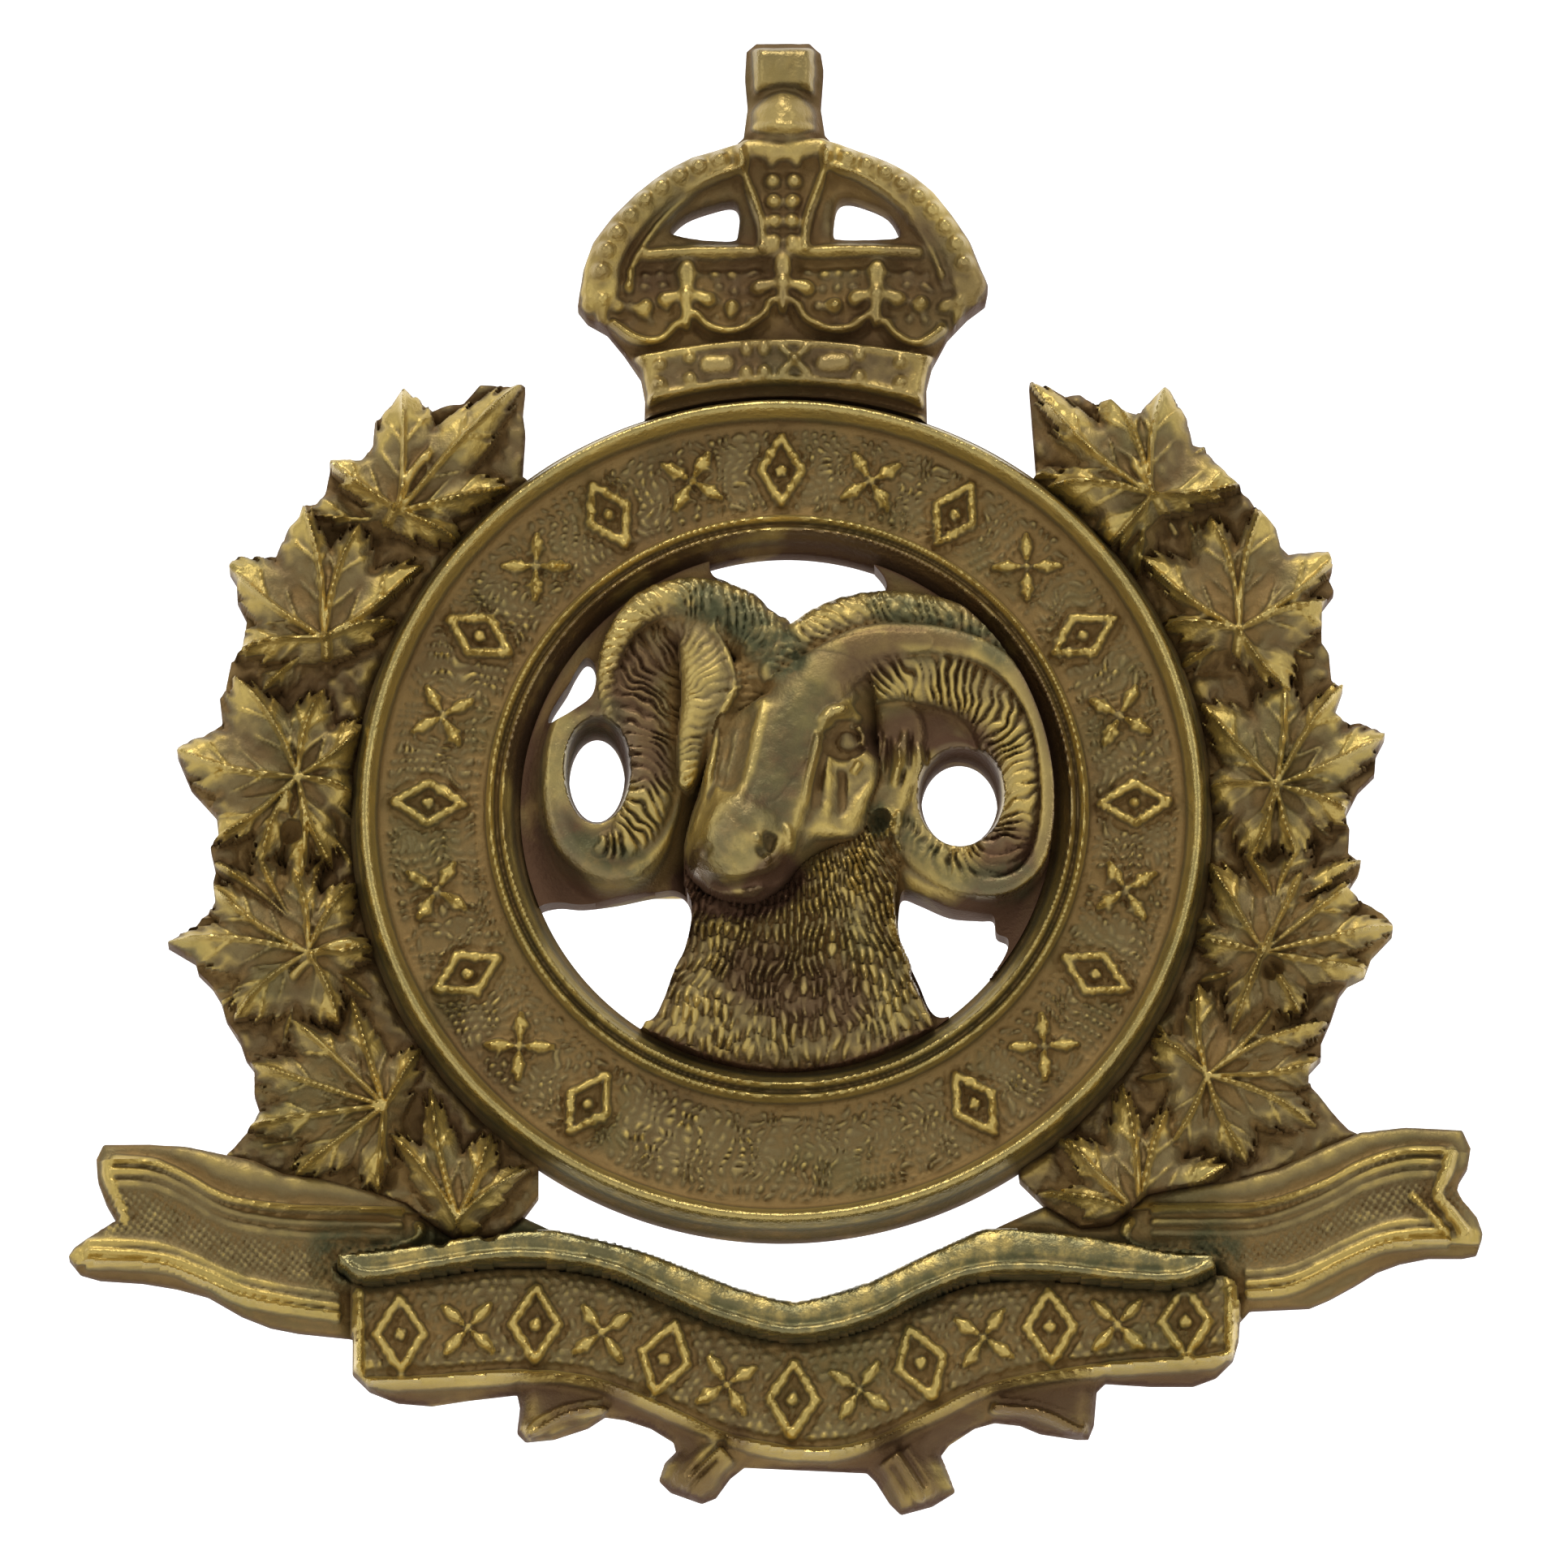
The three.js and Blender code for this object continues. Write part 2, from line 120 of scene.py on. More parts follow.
def noise(x, y, pitch, seed):
    """Smooth noise from -1 to 1 on a square lattice of the given pitch."""
    table = np.random.default_rng(seed).random((64, 64)) * 2 - 1
    u, v = x / pitch + 400, y / pitch + 400
    i, j = np.floor(u).astype(int), np.floor(v).astype(int)
    fu, fv = step_up(u - i, 0, 1), step_up(v - j, 0, 1)
    corner = lambda a, b: table[(i + a) % 64, (j + b) % 64]
    low = corner(0, 0) * (1 - fu) + corner(1, 0) * fu
    high = corner(0, 1) * (1 - fu) + corner(1, 1) * fu
    return low * (1 - fv) + high * fv


def blur(field, radius):
    """Three box averages, close to a Gaussian, radius in samples."""
    n = max(1, int(round(radius)))
    for _ in range(3):
        for axis in (0, 1):
            pad = [(n + 1, n) if a == axis else (0, 0) for a in (0, 1)]
            total = np.cumsum(np.pad(field, pad, mode="edge"), axis=axis)
            size = field.shape[axis]
            high = np.take(total, range(2 * n + 1, 2 * n + 1 + size), axis=axis)
            low = np.take(total, range(size), axis=axis)
            field = (high - low) / (2 * n + 1)
    return field


class Sheet:
    """A rectangle of the badge, sampled on an even grid, with its front height."""

    def __init__(self, x0, y0, x1, y1, step, height=0.0):
        self.step = step
        self.xs = np.arange(x0, x1 + step, step)
        self.ys = np.arange(y0, y1 + step, step)
        self.x, self.y = np.meshgrid(self.xs, self.ys)
        self.height = np.full(self.x.shape, float(height))
        self.stain = np.zeros(self.x.shape)
        self.brown = np.zeros(self.x.shape)

    def near(self, points, margin):
        """The rows and columns that hold the points, with a margin."""
        p = np.asarray(points, float)
        low, high = p.min(axis=0) - margin, p.max(axis=0) + margin
        columns = slice(*np.searchsorted(self.xs, (low[0], high[0])))
        rows = slice(*np.searchsorted(self.ys, (low[1], high[1])))
        return rows, columns

    def tarnish_and_shade(self, line, width, amount, brown=False):
        """Marks a green or brown patch along a line; it fades out over the width. Green patches are
        verdigris; brown ones are patina in some places and painted shade in others, as under the
        muzzle and on flanks that face down.
        """
        w = self.near(line, width)
        gap = nearest(line, self.x[w], self.y[w])[0]
        patch = amount * step_up(width - gap, 0, 0.6 * width)
        layer = self.brown if brown else self.stain
        layer[w] = np.maximum(layer[w], patch)

    def ridge(self, line, width, height, taper=(0.0, 0.0)):
        """Adds a rounded ridge, or a groove if the height is negative."""
        w = self.near(line, width)
        gap, place, _ = nearest(line, self.x[w], self.y[w])
        ends = step_up(place, -1e-6, taper[0] + 1e-6) * step_up(1 - place, -1e-6, taper[1] + 1e-6)
        self.height[w] += height * crest(gap, width) * ends

    def rib(self, points, width, height, taper=(0.0, 0.0)):
        """A ridge or a groove along the smooth line through a few points."""
        self.ridge(smooth(points), width, height, taper)

    def boss(self, centre, radius, height, squash=1.0, turn=0.0):
        """Adds a rounded button, squashed across the given direction (degrees)."""
        w = self.near([centre], radius * max(1, squash) * 1.1)
        c, s = math.cos(math.radians(turn)), math.sin(math.radians(turn))
        dx, dy = self.x[w] - centre[0], self.y[w] - centre[1]
        gap = np.hypot(dx * c + dy * s, (dy * c - dx * s) / squash)
        self.height[w] += height * np.clip(1 - (gap / radius) ** 2, 0, 1) ** 0.7

    def overlay(self, outline, surface, shadow=0.25, reach=0.22, lip=0.12):
        """Lays a raised area over what is there, with a rounded lip and a creased foot.

        surface takes x, y and the depth inside the outline, and gives the new height."""
        w = self.near(outline, 1.0)
        x, y, old = self.x[w], self.y[w], self.height[w]
        depth = depth_in(outline, x, y)
        top = surface(x, y, depth) - lip * np.exp(-np.maximum(depth, 0) / 0.09)
        crease = old - shadow * np.exp(np.minimum(depth, 0) / reach)
        self.height[w] = np.where(depth > 0, top, crease)


# ---------------------------------------------------------------- circlet
BEAD_CREST = 14.72
FIELD = (10.75, 14.25)        # radii between which the band is stippled
FIELD_HEIGHT = 1.3
ORNAMENTS = 21
ORNAMENT_RADIUS = 12.5
ORNAMENT_SPAN = (-57, 237)    # degrees; the foot of the ring stays plain
RING_CENTRE = (0.0, 0.2)
VOID_SHIFT = (0.2, 0.15)      # the pierced centre sits a little high and right in the ring
PEBBLE_ROW = 0.32
PEBBLE_PITCH = 0.38


def circlet_profile(r):
    """Height of the turned ring at radius r, without its stippling and ornaments."""
    flank = 0.95 + 0.85 * step_up(r, VOID_RADIUS - 0.05, 9.95)
    inner = flank + 0.28 * crest(r - 10.06, 0.16) + 0.22 * crest(r - 10.5, 0.14)
    inner -= 0.16 * crest(r - 10.28, 0.14)
    base = FIELD_HEIGHT + (inner - FIELD_HEIGHT) * (1 - step_up(r, 10.6, 10.78))
    bead = 0.95 * crest(r - BEAD_CREST, 0.56)
    return base + bead - 0.55 * step_up(r, BEAD_CREST + 0.1, CIRCLET_RADIUS)


def stipple(x, y, r, turn):
    """Rows of small hammered pebbles, as a matting punch leaves them."""
    ring = r / PEBBLE_ROW + 0.9 * noise(x, y, 0.9, 3)
    row = np.floor(ring)
    along = turn * row * PEBBLE_ROW / PEBBLE_PITCH + 0.5 * (row % 2) + 0.8 * noise(x, y, 0.6, 4)
    bump = np.sin(np.pi * (ring - row)) ** 0.8 * (0.5 + 0.5 * np.cos(2 * np.pi * along))
    return 0.20 * bump * (0.75 + 0.45 * noise(x, y, 0.6, 5)) - 0.06


def lozenge(sheet, centre, angle, long, wide):
    """A raised outline lozenge with a pellet in it, its length along the angle (degrees)."""
    a = math.radians(angle)
    along = np.array([math.cos(a), math.sin(a)])
    across = np.array([-along[1], along[0]])
    c = np.asarray(centre)
    corners = np.array([c + along * long, c + across * wide, c - along * long, c - across * wide])
    w = sheet.near(corners, 0.5)
    gap = nearest(corners, sheet.x[w], sheet.y[w], closed=True)[0]
    hole = depth_in(corners, sheet.x[w], sheet.y[w])
    sheet.height[w] -= 0.05 * step_up(hole, 0.0, 0.3)
    sheet.height[w] += 0.36 * crest(gap, 0.25) - 0.07 * crest(gap - 0.33, 0.14)
    sheet.boss(centre, 0.28, 0.30)


def pellet_cross(sheet, centre, angle, reach):
    """Four raised leaf shapes about a pellet."""
    for k in range(4):
        a = math.radians(angle + 90 * k)
        along = np.array([math.cos(a), math.sin(a)])
        line = np.array(centre) + np.outer([0.30, reach], along)
        w = sheet.near(line, 0.4)
        gap, place, _ = nearest(line, sheet.x[w], sheet.y[w])
        width = 0.14 + 0.22 * np.sin(np.pi * np.clip(place, 0.06, 0.97))
        sheet.height[w] += 0.42 * crest(gap, width)
    sheet.boss(centre, 0.20, 0.30)


def centre_radius(x, y):
    """Distance from the ring's centre, drifting to the pierced centre's own inwards."""
    dx, dy = x - RING_CENTRE[0], y - RING_CENTRE[1]
    inward = 1 - step_up(np.hypot(dx, dy), 10.5, 13.5)
    return np.hypot(dx - VOID_SHIFT[0] * inward, dy - VOID_SHIFT[1] * inward)


def make_circlet():
    """The pierced ring, stippled between its rims, with lozenges and crosses round it."""
    s = Sheet(-15.6, -15.4, 15.6, 15.8, 0.07)
    r, turn = centre_radius(s.x, s.y), np.arctan2(s.y - RING_CENTRE[1], s.x - RING_CENTRE[0])
    s.height = circlet_profile(r)
    edge = np.minimum(r - FIELD[0] - 0.05, FIELD[1] - 0.12 - r)
    s.height += stipple(s.x, s.y, r, turn) * step_up(edge, 0.0, 0.25)
    for k, angle in enumerate(np.linspace(*ORNAMENT_SPAN, ORNAMENTS)):
        spot = arc(ORNAMENT_RADIUS, angle, angle, 1, RING_CENTRE)[0]
        if k % 2:
            pellet_cross(s, spot, angle + 45, 1.15)
        else:
            lozenge(s, spot, angle, 1.2, 0.72)
    s.height += 0.02 * noise(s.x, s.y, 0.8, 7)
    s.stain = 0.35 * step_up(10.9 - r, 0, 0.3) * step_up(-s.y, -2.0, 6.0)
    s.stain += 0.30 * crest(r - BEAD_CREST, 0.5) + 0.4 * step_up(r, 14.8, 15.0)
    # painted shade: brown on the upper inner flank round the opening, which faces down
    s.brown = 0.85 * step_up(10.3 - r, 0, 0.25) * step_up(s.y, -4.0, 3.0)
    mask = np.minimum(CIRCLET_RADIUS - r, r - VOID_RADIUS)
    return s, mask


# ---------------------------------------------------------------- ram's head
# Openings pierced round the head, clockwise from the top.
TOP_VOID = [
    (-2.55, 9.3), (-2.2, 9.7), (-1.4, 10.0), (0.1, 10.1), (1.6, 10.0), (2.8, 9.6),
    (3.6, 8.85), (3.65, 8.3), (2.8, 8.05), (1.8, 7.8), (0.9, 7.3), (0.17, 7.0),
    (-0.35, 7.2), (-1.0, 7.95), (-1.8, 8.6), (-2.4, 8.85),
]
LEFT_VOID = [
    (-6.95, 5.85), (-6.65, 5.7), (-6.55, 5.0), (-6.7, 4.25), (-7.3, 3.75), (-8.0, 3.35),
    (-8.25, 3.45), (-8.1, 3.95), (-7.6, 4.75), (-7.3, 5.35),
]
LOWER_LEFT_VOID = [
    (-8.6, -3.2), (-7.9, -2.95), (-7.0, -3.0), (-5.8, -2.85), (-4.6, -2.6), (-3.7, -2.5),
    (-3.25, -2.9), (-3.18, -3.75), (-3.4, -4.8), (-3.7, -5.4), (-4.2, -6.75),
    (-4.5, -7.25), (-4.9, -7.45), (-5.4, -7.75), (-6.5, -7.2), (-7.6, -6.1),
    (-8.4, -4.9), (-8.75, -4.0),
]
LOWER_RIGHT_VOID = [
    (4.3, -2.65), (4.9, -2.85), (5.95, -3.3), (7.0, -3.4), (7.5, -3.45), (7.6, -4.05),
    (8.0, -4.3), (7.9, -4.9), (7.3, -5.8), (6.5, -6.75), (5.9, -7.1), (5.5, -7.1),
    (5.2, -6.75), (4.9, -6.0), (4.5, -5.1), (4.15, -4.05), (4.15, -3.15),
]
VOIDS = (TOP_VOID, LEFT_VOID, LOWER_LEFT_VOID, LOWER_RIGHT_VOID)
# the oval openings in the horns' curls, and the flanks that fall from the horns to the web:
# centre, half width and half height
CURL_HOLES = [((-6.53, 1.54), 0.98, 1.64), ((6.3, 0.63), 1.34, 1.61)]
FLANKS = [((-5.9, 1.4), 2.65, 4.1), ((6.2, 1.4), 3.8, 4.75)]

NECK = [
    (-3.3, -1.0), (-3.3, -3.4), (-3.9, -5.4), (-5.1, -8.0), (-5.4, -9.6), (5.6, -9.6),
    (5.4, -7.6), (4.3, -5.0), (4.0, -3.0), (4.2, -1.0), (3.0, 2.0), (-1.0, 2.0),
]
CHEEK = [
    (0.0, -1.0), (1.4, -0.4), (2.7, 0.3), (3.1, -0.9), (3.7, -2.2), (4.0, -4.0),
    (4.0, -6.0), (-4.0, -6.0), (-3.4, -2.8), (-1.0, -2.4),
]
FACE = [
    (-0.8, 4.0), (-0.2, 4.8), (0.3, 5.5), (1.5, 5.6), (2.8, 5.2), (3.3, 4.2), (3.4, 2.9),
    (3.45, 1.4), (3.1, 0.3), (2.8, -0.9), (1.7, -1.4), (0.7, -2.0), (0.1, -2.8), (-0.9, -3.3),
    (-2.0, -3.15), (-2.95, -2.5), (-3.45, -1.5), (-3.2, 0.0), (-2.75, 1.3), (-2.5, 2.5),
    (-2.2, 3.3), (-1.6, 3.5),
]
# ridges and grooves of the face: the line, its width, its height, and how its ends taper
FACE_LINES = [
    # edges of the flat nose bridge, and the rim along the left side of the face
    ([(-0.6, 3.6), (-0.9, 2.2), (-1.2, 0.9), (-1.6, -0.4)], 0.3, 0.10, (0.1, 0.2)),
    ([(1.35, 2.6), (1.1, 1.4), (0.9, 0.2), (0.95, -0.4)], 0.22, 0.26, (0.1, 0.2)),
    ([(1.6, 2.5), (1.42, 1.4), (1.2, 0.3)], 0.22, -0.22, (0.1, 0.2)),
    ([(-2.3, 3.2), (-2.4, 2.2), (-2.65, 1.0), (-3.0, -0.2), (-3.3, -1.2)], 0.24, 0.34, (0.1, 0.1)),
    # nostrils and mouth
    ([(-3.0, -1.35), (-2.75, -1.7), (-2.4, -1.95)], 0.26, -0.3, (0.2, 0.3)),
    ([(-0.35, -1.2), (-0.5, -1.75), (-0.9, -2.1)], 0.32, -0.42, (0.2, 0.3)),
    ([(-1.0, -1.3), (-0.6, -1.9), (-0.45, -2.4)], 0.2, 0.2, (0.2, 0.2)),
    ([(0.05, -0.75), (0.35, -1.4), (0.3, -2.0)], 0.22, 0.26, (0.3, 0.3)),
    ([(-3.0, -2.5), (-1.9, -2.9), (-0.7, -2.75), (0.2, -2.3)], 0.24, -0.4, (0.1, 0.2)),
    # lids and brow of the eye, its bright corner, the tear line and the cheek
    ([(1.5, 2.4), (1.85, 2.95), (2.5, 3.02)], 0.20, -0.22, (0.15, 0.15)),
    ([(1.35, 2.7), (1.8, 3.3), (2.5, 3.42), (3.0, 3.2)], 0.32, 0.34, (0.25, 0.15)),
    ([(2.72, 3.05), (2.88, 2.7), (2.82, 2.25)], 0.20, 0.40, (0.1, 0.2)),
    ([(1.6, 2.1), (2.0, 1.8), (2.5, 1.85)], 0.22, -0.18, (0.2, 0.2)),
    ([(2.8, 1.75), (2.65, 1.45), (2.45, 1.15)], 0.20, 0.26, (0.2, 0.3)),
    ([(2.12, 1.5), (2.15, 0.6), (2.08, -0.5)], 0.22, -0.26, (0.2, 0.7)),
    ([(1.5, 2.0), (1.62, 1.0), (1.6, -0.2), (1.3, -1.0)], 0.28, 0.14, (0.2, 0.4)),
    ([(2.2, -0.9), (2.6, -0.1), (3.1, 0.55), (3.7, 1.2)], 0.42, 0.22, (0.2, 0.3)),
]
# the forehead's top, and the way down the face to the muzzle
FACE_ORIGIN = (1.4, 4.6)
FACE_DOWN = (-0.404, -0.915)


def tube(sheet, line, radii, heights, power=2.0, blend=0.12, texture=None):
    """A round bar lying along a line; its radius and crest height change along it."""
    reach = max(radii)
    w = sheet.near(line, reach + 0.1)
    x, y = sheet.x[w], sheet.y[w]
    gap, place, side = nearest(line, x, y)
    knots = np.linspace(0, 1, len(radii))
    radius = np.interp(place, knots, radii)
    crest_height = np.interp(place, np.linspace(0, 1, len(heights)), heights)
    section = np.clip(1 - (gap / radius) ** power, 0, 1) ** (1 / power)
    top = crest_height - radius * (1 - section)
    if texture is not None:
        size = float(np.hypot(*np.diff(np.asarray(line), axis=0).T).sum())
        top = top + texture(place * size, gap * side, gap / radius) * (section > 0)
    old = sheet.height[w]
    mixed = soft_max(old, top, blend)
    sheet.height[w] = np.where(gap < radius, mixed, old)


def rings(pitch, depth, slant=0.0, seed=0):
    """Growth rings across a horn: uneven grooves between rounded ribs."""
    def texture(along, across, share):
        wander = 0.8 * noise(along, across, 1.0, seed) + 0.4 * noise(along, across, 0.42, seed + 1)
        wave = np.abs(np.sin(np.pi * ((along + slant * across) / pitch + wander)))
        deep = depth * (0.8 + 0.7 * noise(along, across, 0.55, seed + 2))
        return deep * (wave**0.7 - 0.8) * step_up(1 - share, -0.05, 0.25)
    return texture


def tufts(x, y, centre, lane, length, seed):
    """Short overlapping tufts of hair combed away from a centre, each lane at its own step."""
    dx, dy = x - centre[0], y - centre[1]
    reach, turn = np.hypot(dx, dy), np.arctan2(dx, -dy)
    comb = turn * 12.0 / lane + 0.9 * noise(x, y, 1.3, seed) + 0.3 * noise(x, y, 0.5, seed + 1)
    own = np.floor(comb)
    start = np.random.default_rng(seed).random(256)[(own % 256).astype(int)]
    part = (reach / length + start + 0.3 * noise(x, y, 0.9, seed + 2)) % 1.0
    half = 0.56 * (1.0 - 0.8 * part**2)
    rib = np.clip(1 - ((comb - own - 0.5) / half) ** 2, 0, 1)
    tuft = rib * (0.4 + 0.6 * part) * (1 - step_up(part, 0.88, 1.0))
    return 0.36 * tuft * (0.8 + 0.5 * noise(x, y, 0.7, seed + 3)) + 0.05 * noise(x, y, 0.3, seed + 4)


def pitted(along, across, _):
    """Irregular pits of a horn's worn outer side."""
    ribs = noise(along, across, 0.30, 31) + 0.5 * noise(along, across, 0.15, 32)
    wander = 0.9 * noise(along, across, 0.8, 34)
    wave = np.abs(np.sin(np.pi * ((along + 0.5 * across) / 0.36 + wander))) ** 0.7
    return 0.08 * ribs + 0.13 * (wave - 0.7)


def strands(x, y, centre, seed):
    """Long fine hair combed away from a centre."""
    dx, dy = x - centre[0], y - centre[1]
    reach, turn = np.hypot(dx, dy), np.arctan2(dx, -dy)
    lane = turn * 15.0 / 0.40 + 0.9 * noise(x, y, 1.0, seed)
    breaks = noise(lane * 0.9, reach * 0.9, 0.9, seed + 1)
    return 0.22 * (np.abs(np.sin(np.pi * lane)) ** 0.7 - 0.5) * (0.7 + 0.5 * breaks) + 0.08 * breaks


def right_horn(s):
    """The horn on the right: a pitted outer side, a ringed inner side and a smooth lip."""
    outer = smooth([(-0.2, 4.9), (0.9, 6.1), (2.6, 6.95), (4.8, 7.05), (6.9, 6.4), (8.4, 5.0),
                    (9.1, 3.0), (9.3, 1.0)], 8)
    tube(s, outer, (0.8, 0.95, 0.95, 0.9, 0.75, 0.5, 0.3), (3.4, 3.2, 2.9, 2.6, 2.3), texture=pitted)
    side = smooth([(1.9, 4.4), (2.9, 4.75), (4.4, 4.95), (6.2, 4.7), (7.5, 3.7), (8.15, 2.0),
                   (8.2, 0.1), (7.6, -1.4), (6.3, -1.95), (5.1, -1.4), (4.3, -0.3)], 8)
    tube(s, side, (0.8, 1.05, 1.15, 1.15, 1.15, 1.05, 0.95, 0.8, 0.6),
         (3.3, 3.25, 3.15, 3.0, 2.85, 2.7, 2.5, 2.3), power=2.6, texture=rings(0.37, 0.27, 0.5, 33))
    lip = smooth([(1.3, 5.0), (2.8, 5.85), (4.6, 6.1), (6.4, 5.9), (7.9, 5.15), (8.9, 3.7),
                  (9.35, 1.9), (9.4, -0.3), (8.9, -1.9), (7.8, -2.65), (6.3, -2.5),
                  (5.0, -1.75), (4.2, -0.8)], 6)
    tube(s, lip, (0.75, 0.66, 0.5, 0.38, 0.3, 0.3, 0.3, 0.45, 0.5),
         (3.6, 3.35, 3.0, 2.7, 2.4), power=2.6, blend=0.2)
    s.tarnish_and_shade(smooth([(3.6, 7.3), (5.2, 7.1), (7.0, 6.4), (7.9, 5.6)]), 0.9, 0.85)
    s.tarnish_and_shade(smooth([(4.4, -0.6), (5.5, -1.8), (7.0, -2.5), (8.3, -2.3)]), 0.8, 0.7)
    s.tarnish_and_shade(smooth([(1.0, 4.9), (2.8, 5.9), (4.6, 6.2), (6.4, 6.0)]), 0.6, 0.7, brown=True)
    s.tarnish_and_shade(smooth([(3.4, 2.6), (5.2, 3.0), (6.6, 2.6), (7.0, 1.6)]), 1.1, 0.85, brown=True)


def left_horn(s):
    """The horn on the left, seen from the front, with its curl and its root at the forehead."""
    inner = smooth([(-3.9, 6.7), (-4.7, 5.6), (-4.9, 3.9), (-4.75, 2.0), (-4.85, 0.3),
                    (-5.5, -0.95), (-6.4, -1.3)], 8)
    tube(s, inner, (0.9, 1.5, 1.45, 1.25, 1.1, 0.9, 0.5), (2.3, 2.5, 2.75, 2.85, 2.5),
         power=2.4, texture=rings(0.38, 0.27, -0.5, 36))
    outer = smooth([(0.3, 5.0), (-0.5, 6.1), (-1.7, 7.1), (-3.4, 7.7), (-4.9, 7.35),
                    (-5.8, 6.3), (-6.15, 5.0), (-6.1, 3.3)], 8)
    tube(s, outer, (1.0, 1.2, 1.05, 0.72, 0.48, 0.38, 0.3), (3.2, 3.2, 3.0, 2.7, 2.4),
         texture=pitted)
    root = smooth([(-0.5, 6.2), (-0.95, 5.0), (-1.35, 4.0), (-1.8, 3.0)], 8)
    tube(s, root, (0.7, 0.85, 0.8, 0.6), (3.1, 2.9, 2.9, 2.9), blend=0.3, texture=pitted)
    volute = smooth([(-4.0, 6.9), (-3.2, 6.5), (-2.75, 5.6), (-2.55, 4.5), (-2.7, 3.5),
                     (-3.05, 2.4), (-3.35, 1.1)], 8)
    tube(s, volute, (0.25, 0.7, 0.95, 1.0, 0.85, 0.6, 0.3),
         (2.5, 3.1, 3.4, 3.4, 3.15, 2.9), power=2.4, blend=0.25, texture=rings(0.33, 0.10, 0.4, 39))
    edge = smooth([(-2.7, 6.8), (-2.1, 6.2), (-1.7, 5.3), (-1.55, 4.5), (-1.95, 3.5),
                   (-2.35, 2.8)], 8)
    s.ridge(edge, 0.26, 0.28, (0.1, 0.1))
    s.tarnish_and_shade(smooth([(0.2, 5.4), (-0.8, 6.4), (-2.0, 7.3), (-3.0, 7.7)]), 1.2, 0.95)
    s.tarnish_and_shade(smooth([(-7.3, -0.9), (-6.4, -1.5), (-5.2, -1.9)]), 0.8, 0.8)
    s.tarnish_and_shade(smooth([(-4.2, 6.2), (-5.2, 5.0), (-5.1, 3.2), (-4.7, 1.6)]), 1.2, 0.8, brown=True)
    curl = smooth([(-6.1, 3.5), (-7.2, 3.0), (-7.9, 1.8), (-8.05, 0.6), (-7.65, -0.8),
                   (-6.6, -1.8), (-5.2, -1.95)], 8)
    tube(s, curl, (0.30, 0.36, 0.42, 0.42, 0.5, 0.5, 0.4), (2.1, 2.3, 2.4, 2.4, 2.3))
    s.tarnish_and_shade(curl, 0.9, 0.45)
    # painted shade: brown on the slope to the left of the curl's rim
    s.tarnish_and_shade(curl - (0.7, 0.0), 0.9, 0.6, brown=True)


def face_surface(x, y, depth):
    """Flat nose bridge, sides that fall away from it, and a rounded muzzle."""
    dx, dy = x - FACE_ORIGIN[0], y - FACE_ORIGIN[1]
    u = dx * FACE_DOWN[0] + dy * FACE_DOWN[1]
    v = -dx * FACE_DOWN[1] + dy * FACE_DOWN[0]
    knots = (0.0, 1.7, 3.9, 5.2, 6.2, 7.6)
    left = np.interp(u, knots, (-1.5, -1.5, -0.95, -0.85, -1.3, -1.3))
    right = np.interp(u, knots, (1.3, 0.85, 1.04, 1.3, 1.2, 1.0))
    level = np.interp(u, knots, (3.6, 3.95, 4.35, 4.65, 4.95, 4.6))
    edge = np.interp(u, (2.9, 4.9, 7.5), (-2.78, -2.25, -1.95))
    out_left = np.clip((left - v) / (left - edge), 0, 1.3)
    out_right = np.maximum(v - right, 0)
    z = level - 0.12 * ((v - (left + right) / 2) / (right - left)) ** 2
    z = z - 0.25 * step_up(left - v, 0, 0.6) - 0.9 * out_left
    z = z - 0.40 * step_up(v - right, 0, 0.5) - 0.28 * out_right
    muzzle = np.exp(-((v + 0.25) / 1.75) ** 4 - ((u - 6.3) / 1.15) ** 4)
    z = z + muzzle * (5.25 - 0.35 * (v + 0.25) ** 2 - 0.2 * (u - 6.2) ** 2 - z)
    round_off = step_up(u, 4.6, 5.6)
    z = z - (0.15 + 1.25 * round_off) * (1 - np.clip(depth / (0.3 + 0.7 * round_off), 0, 1)) ** 2
    z = z - 1.0 * (1 - step_up(depth, 0, 1.3)) * step_up(1.8 - u, 0, 1)
    return z + 0.03 * noise(x, y, 0.25, 17) + 0.05 * noise(x, y, 0.8, 18)


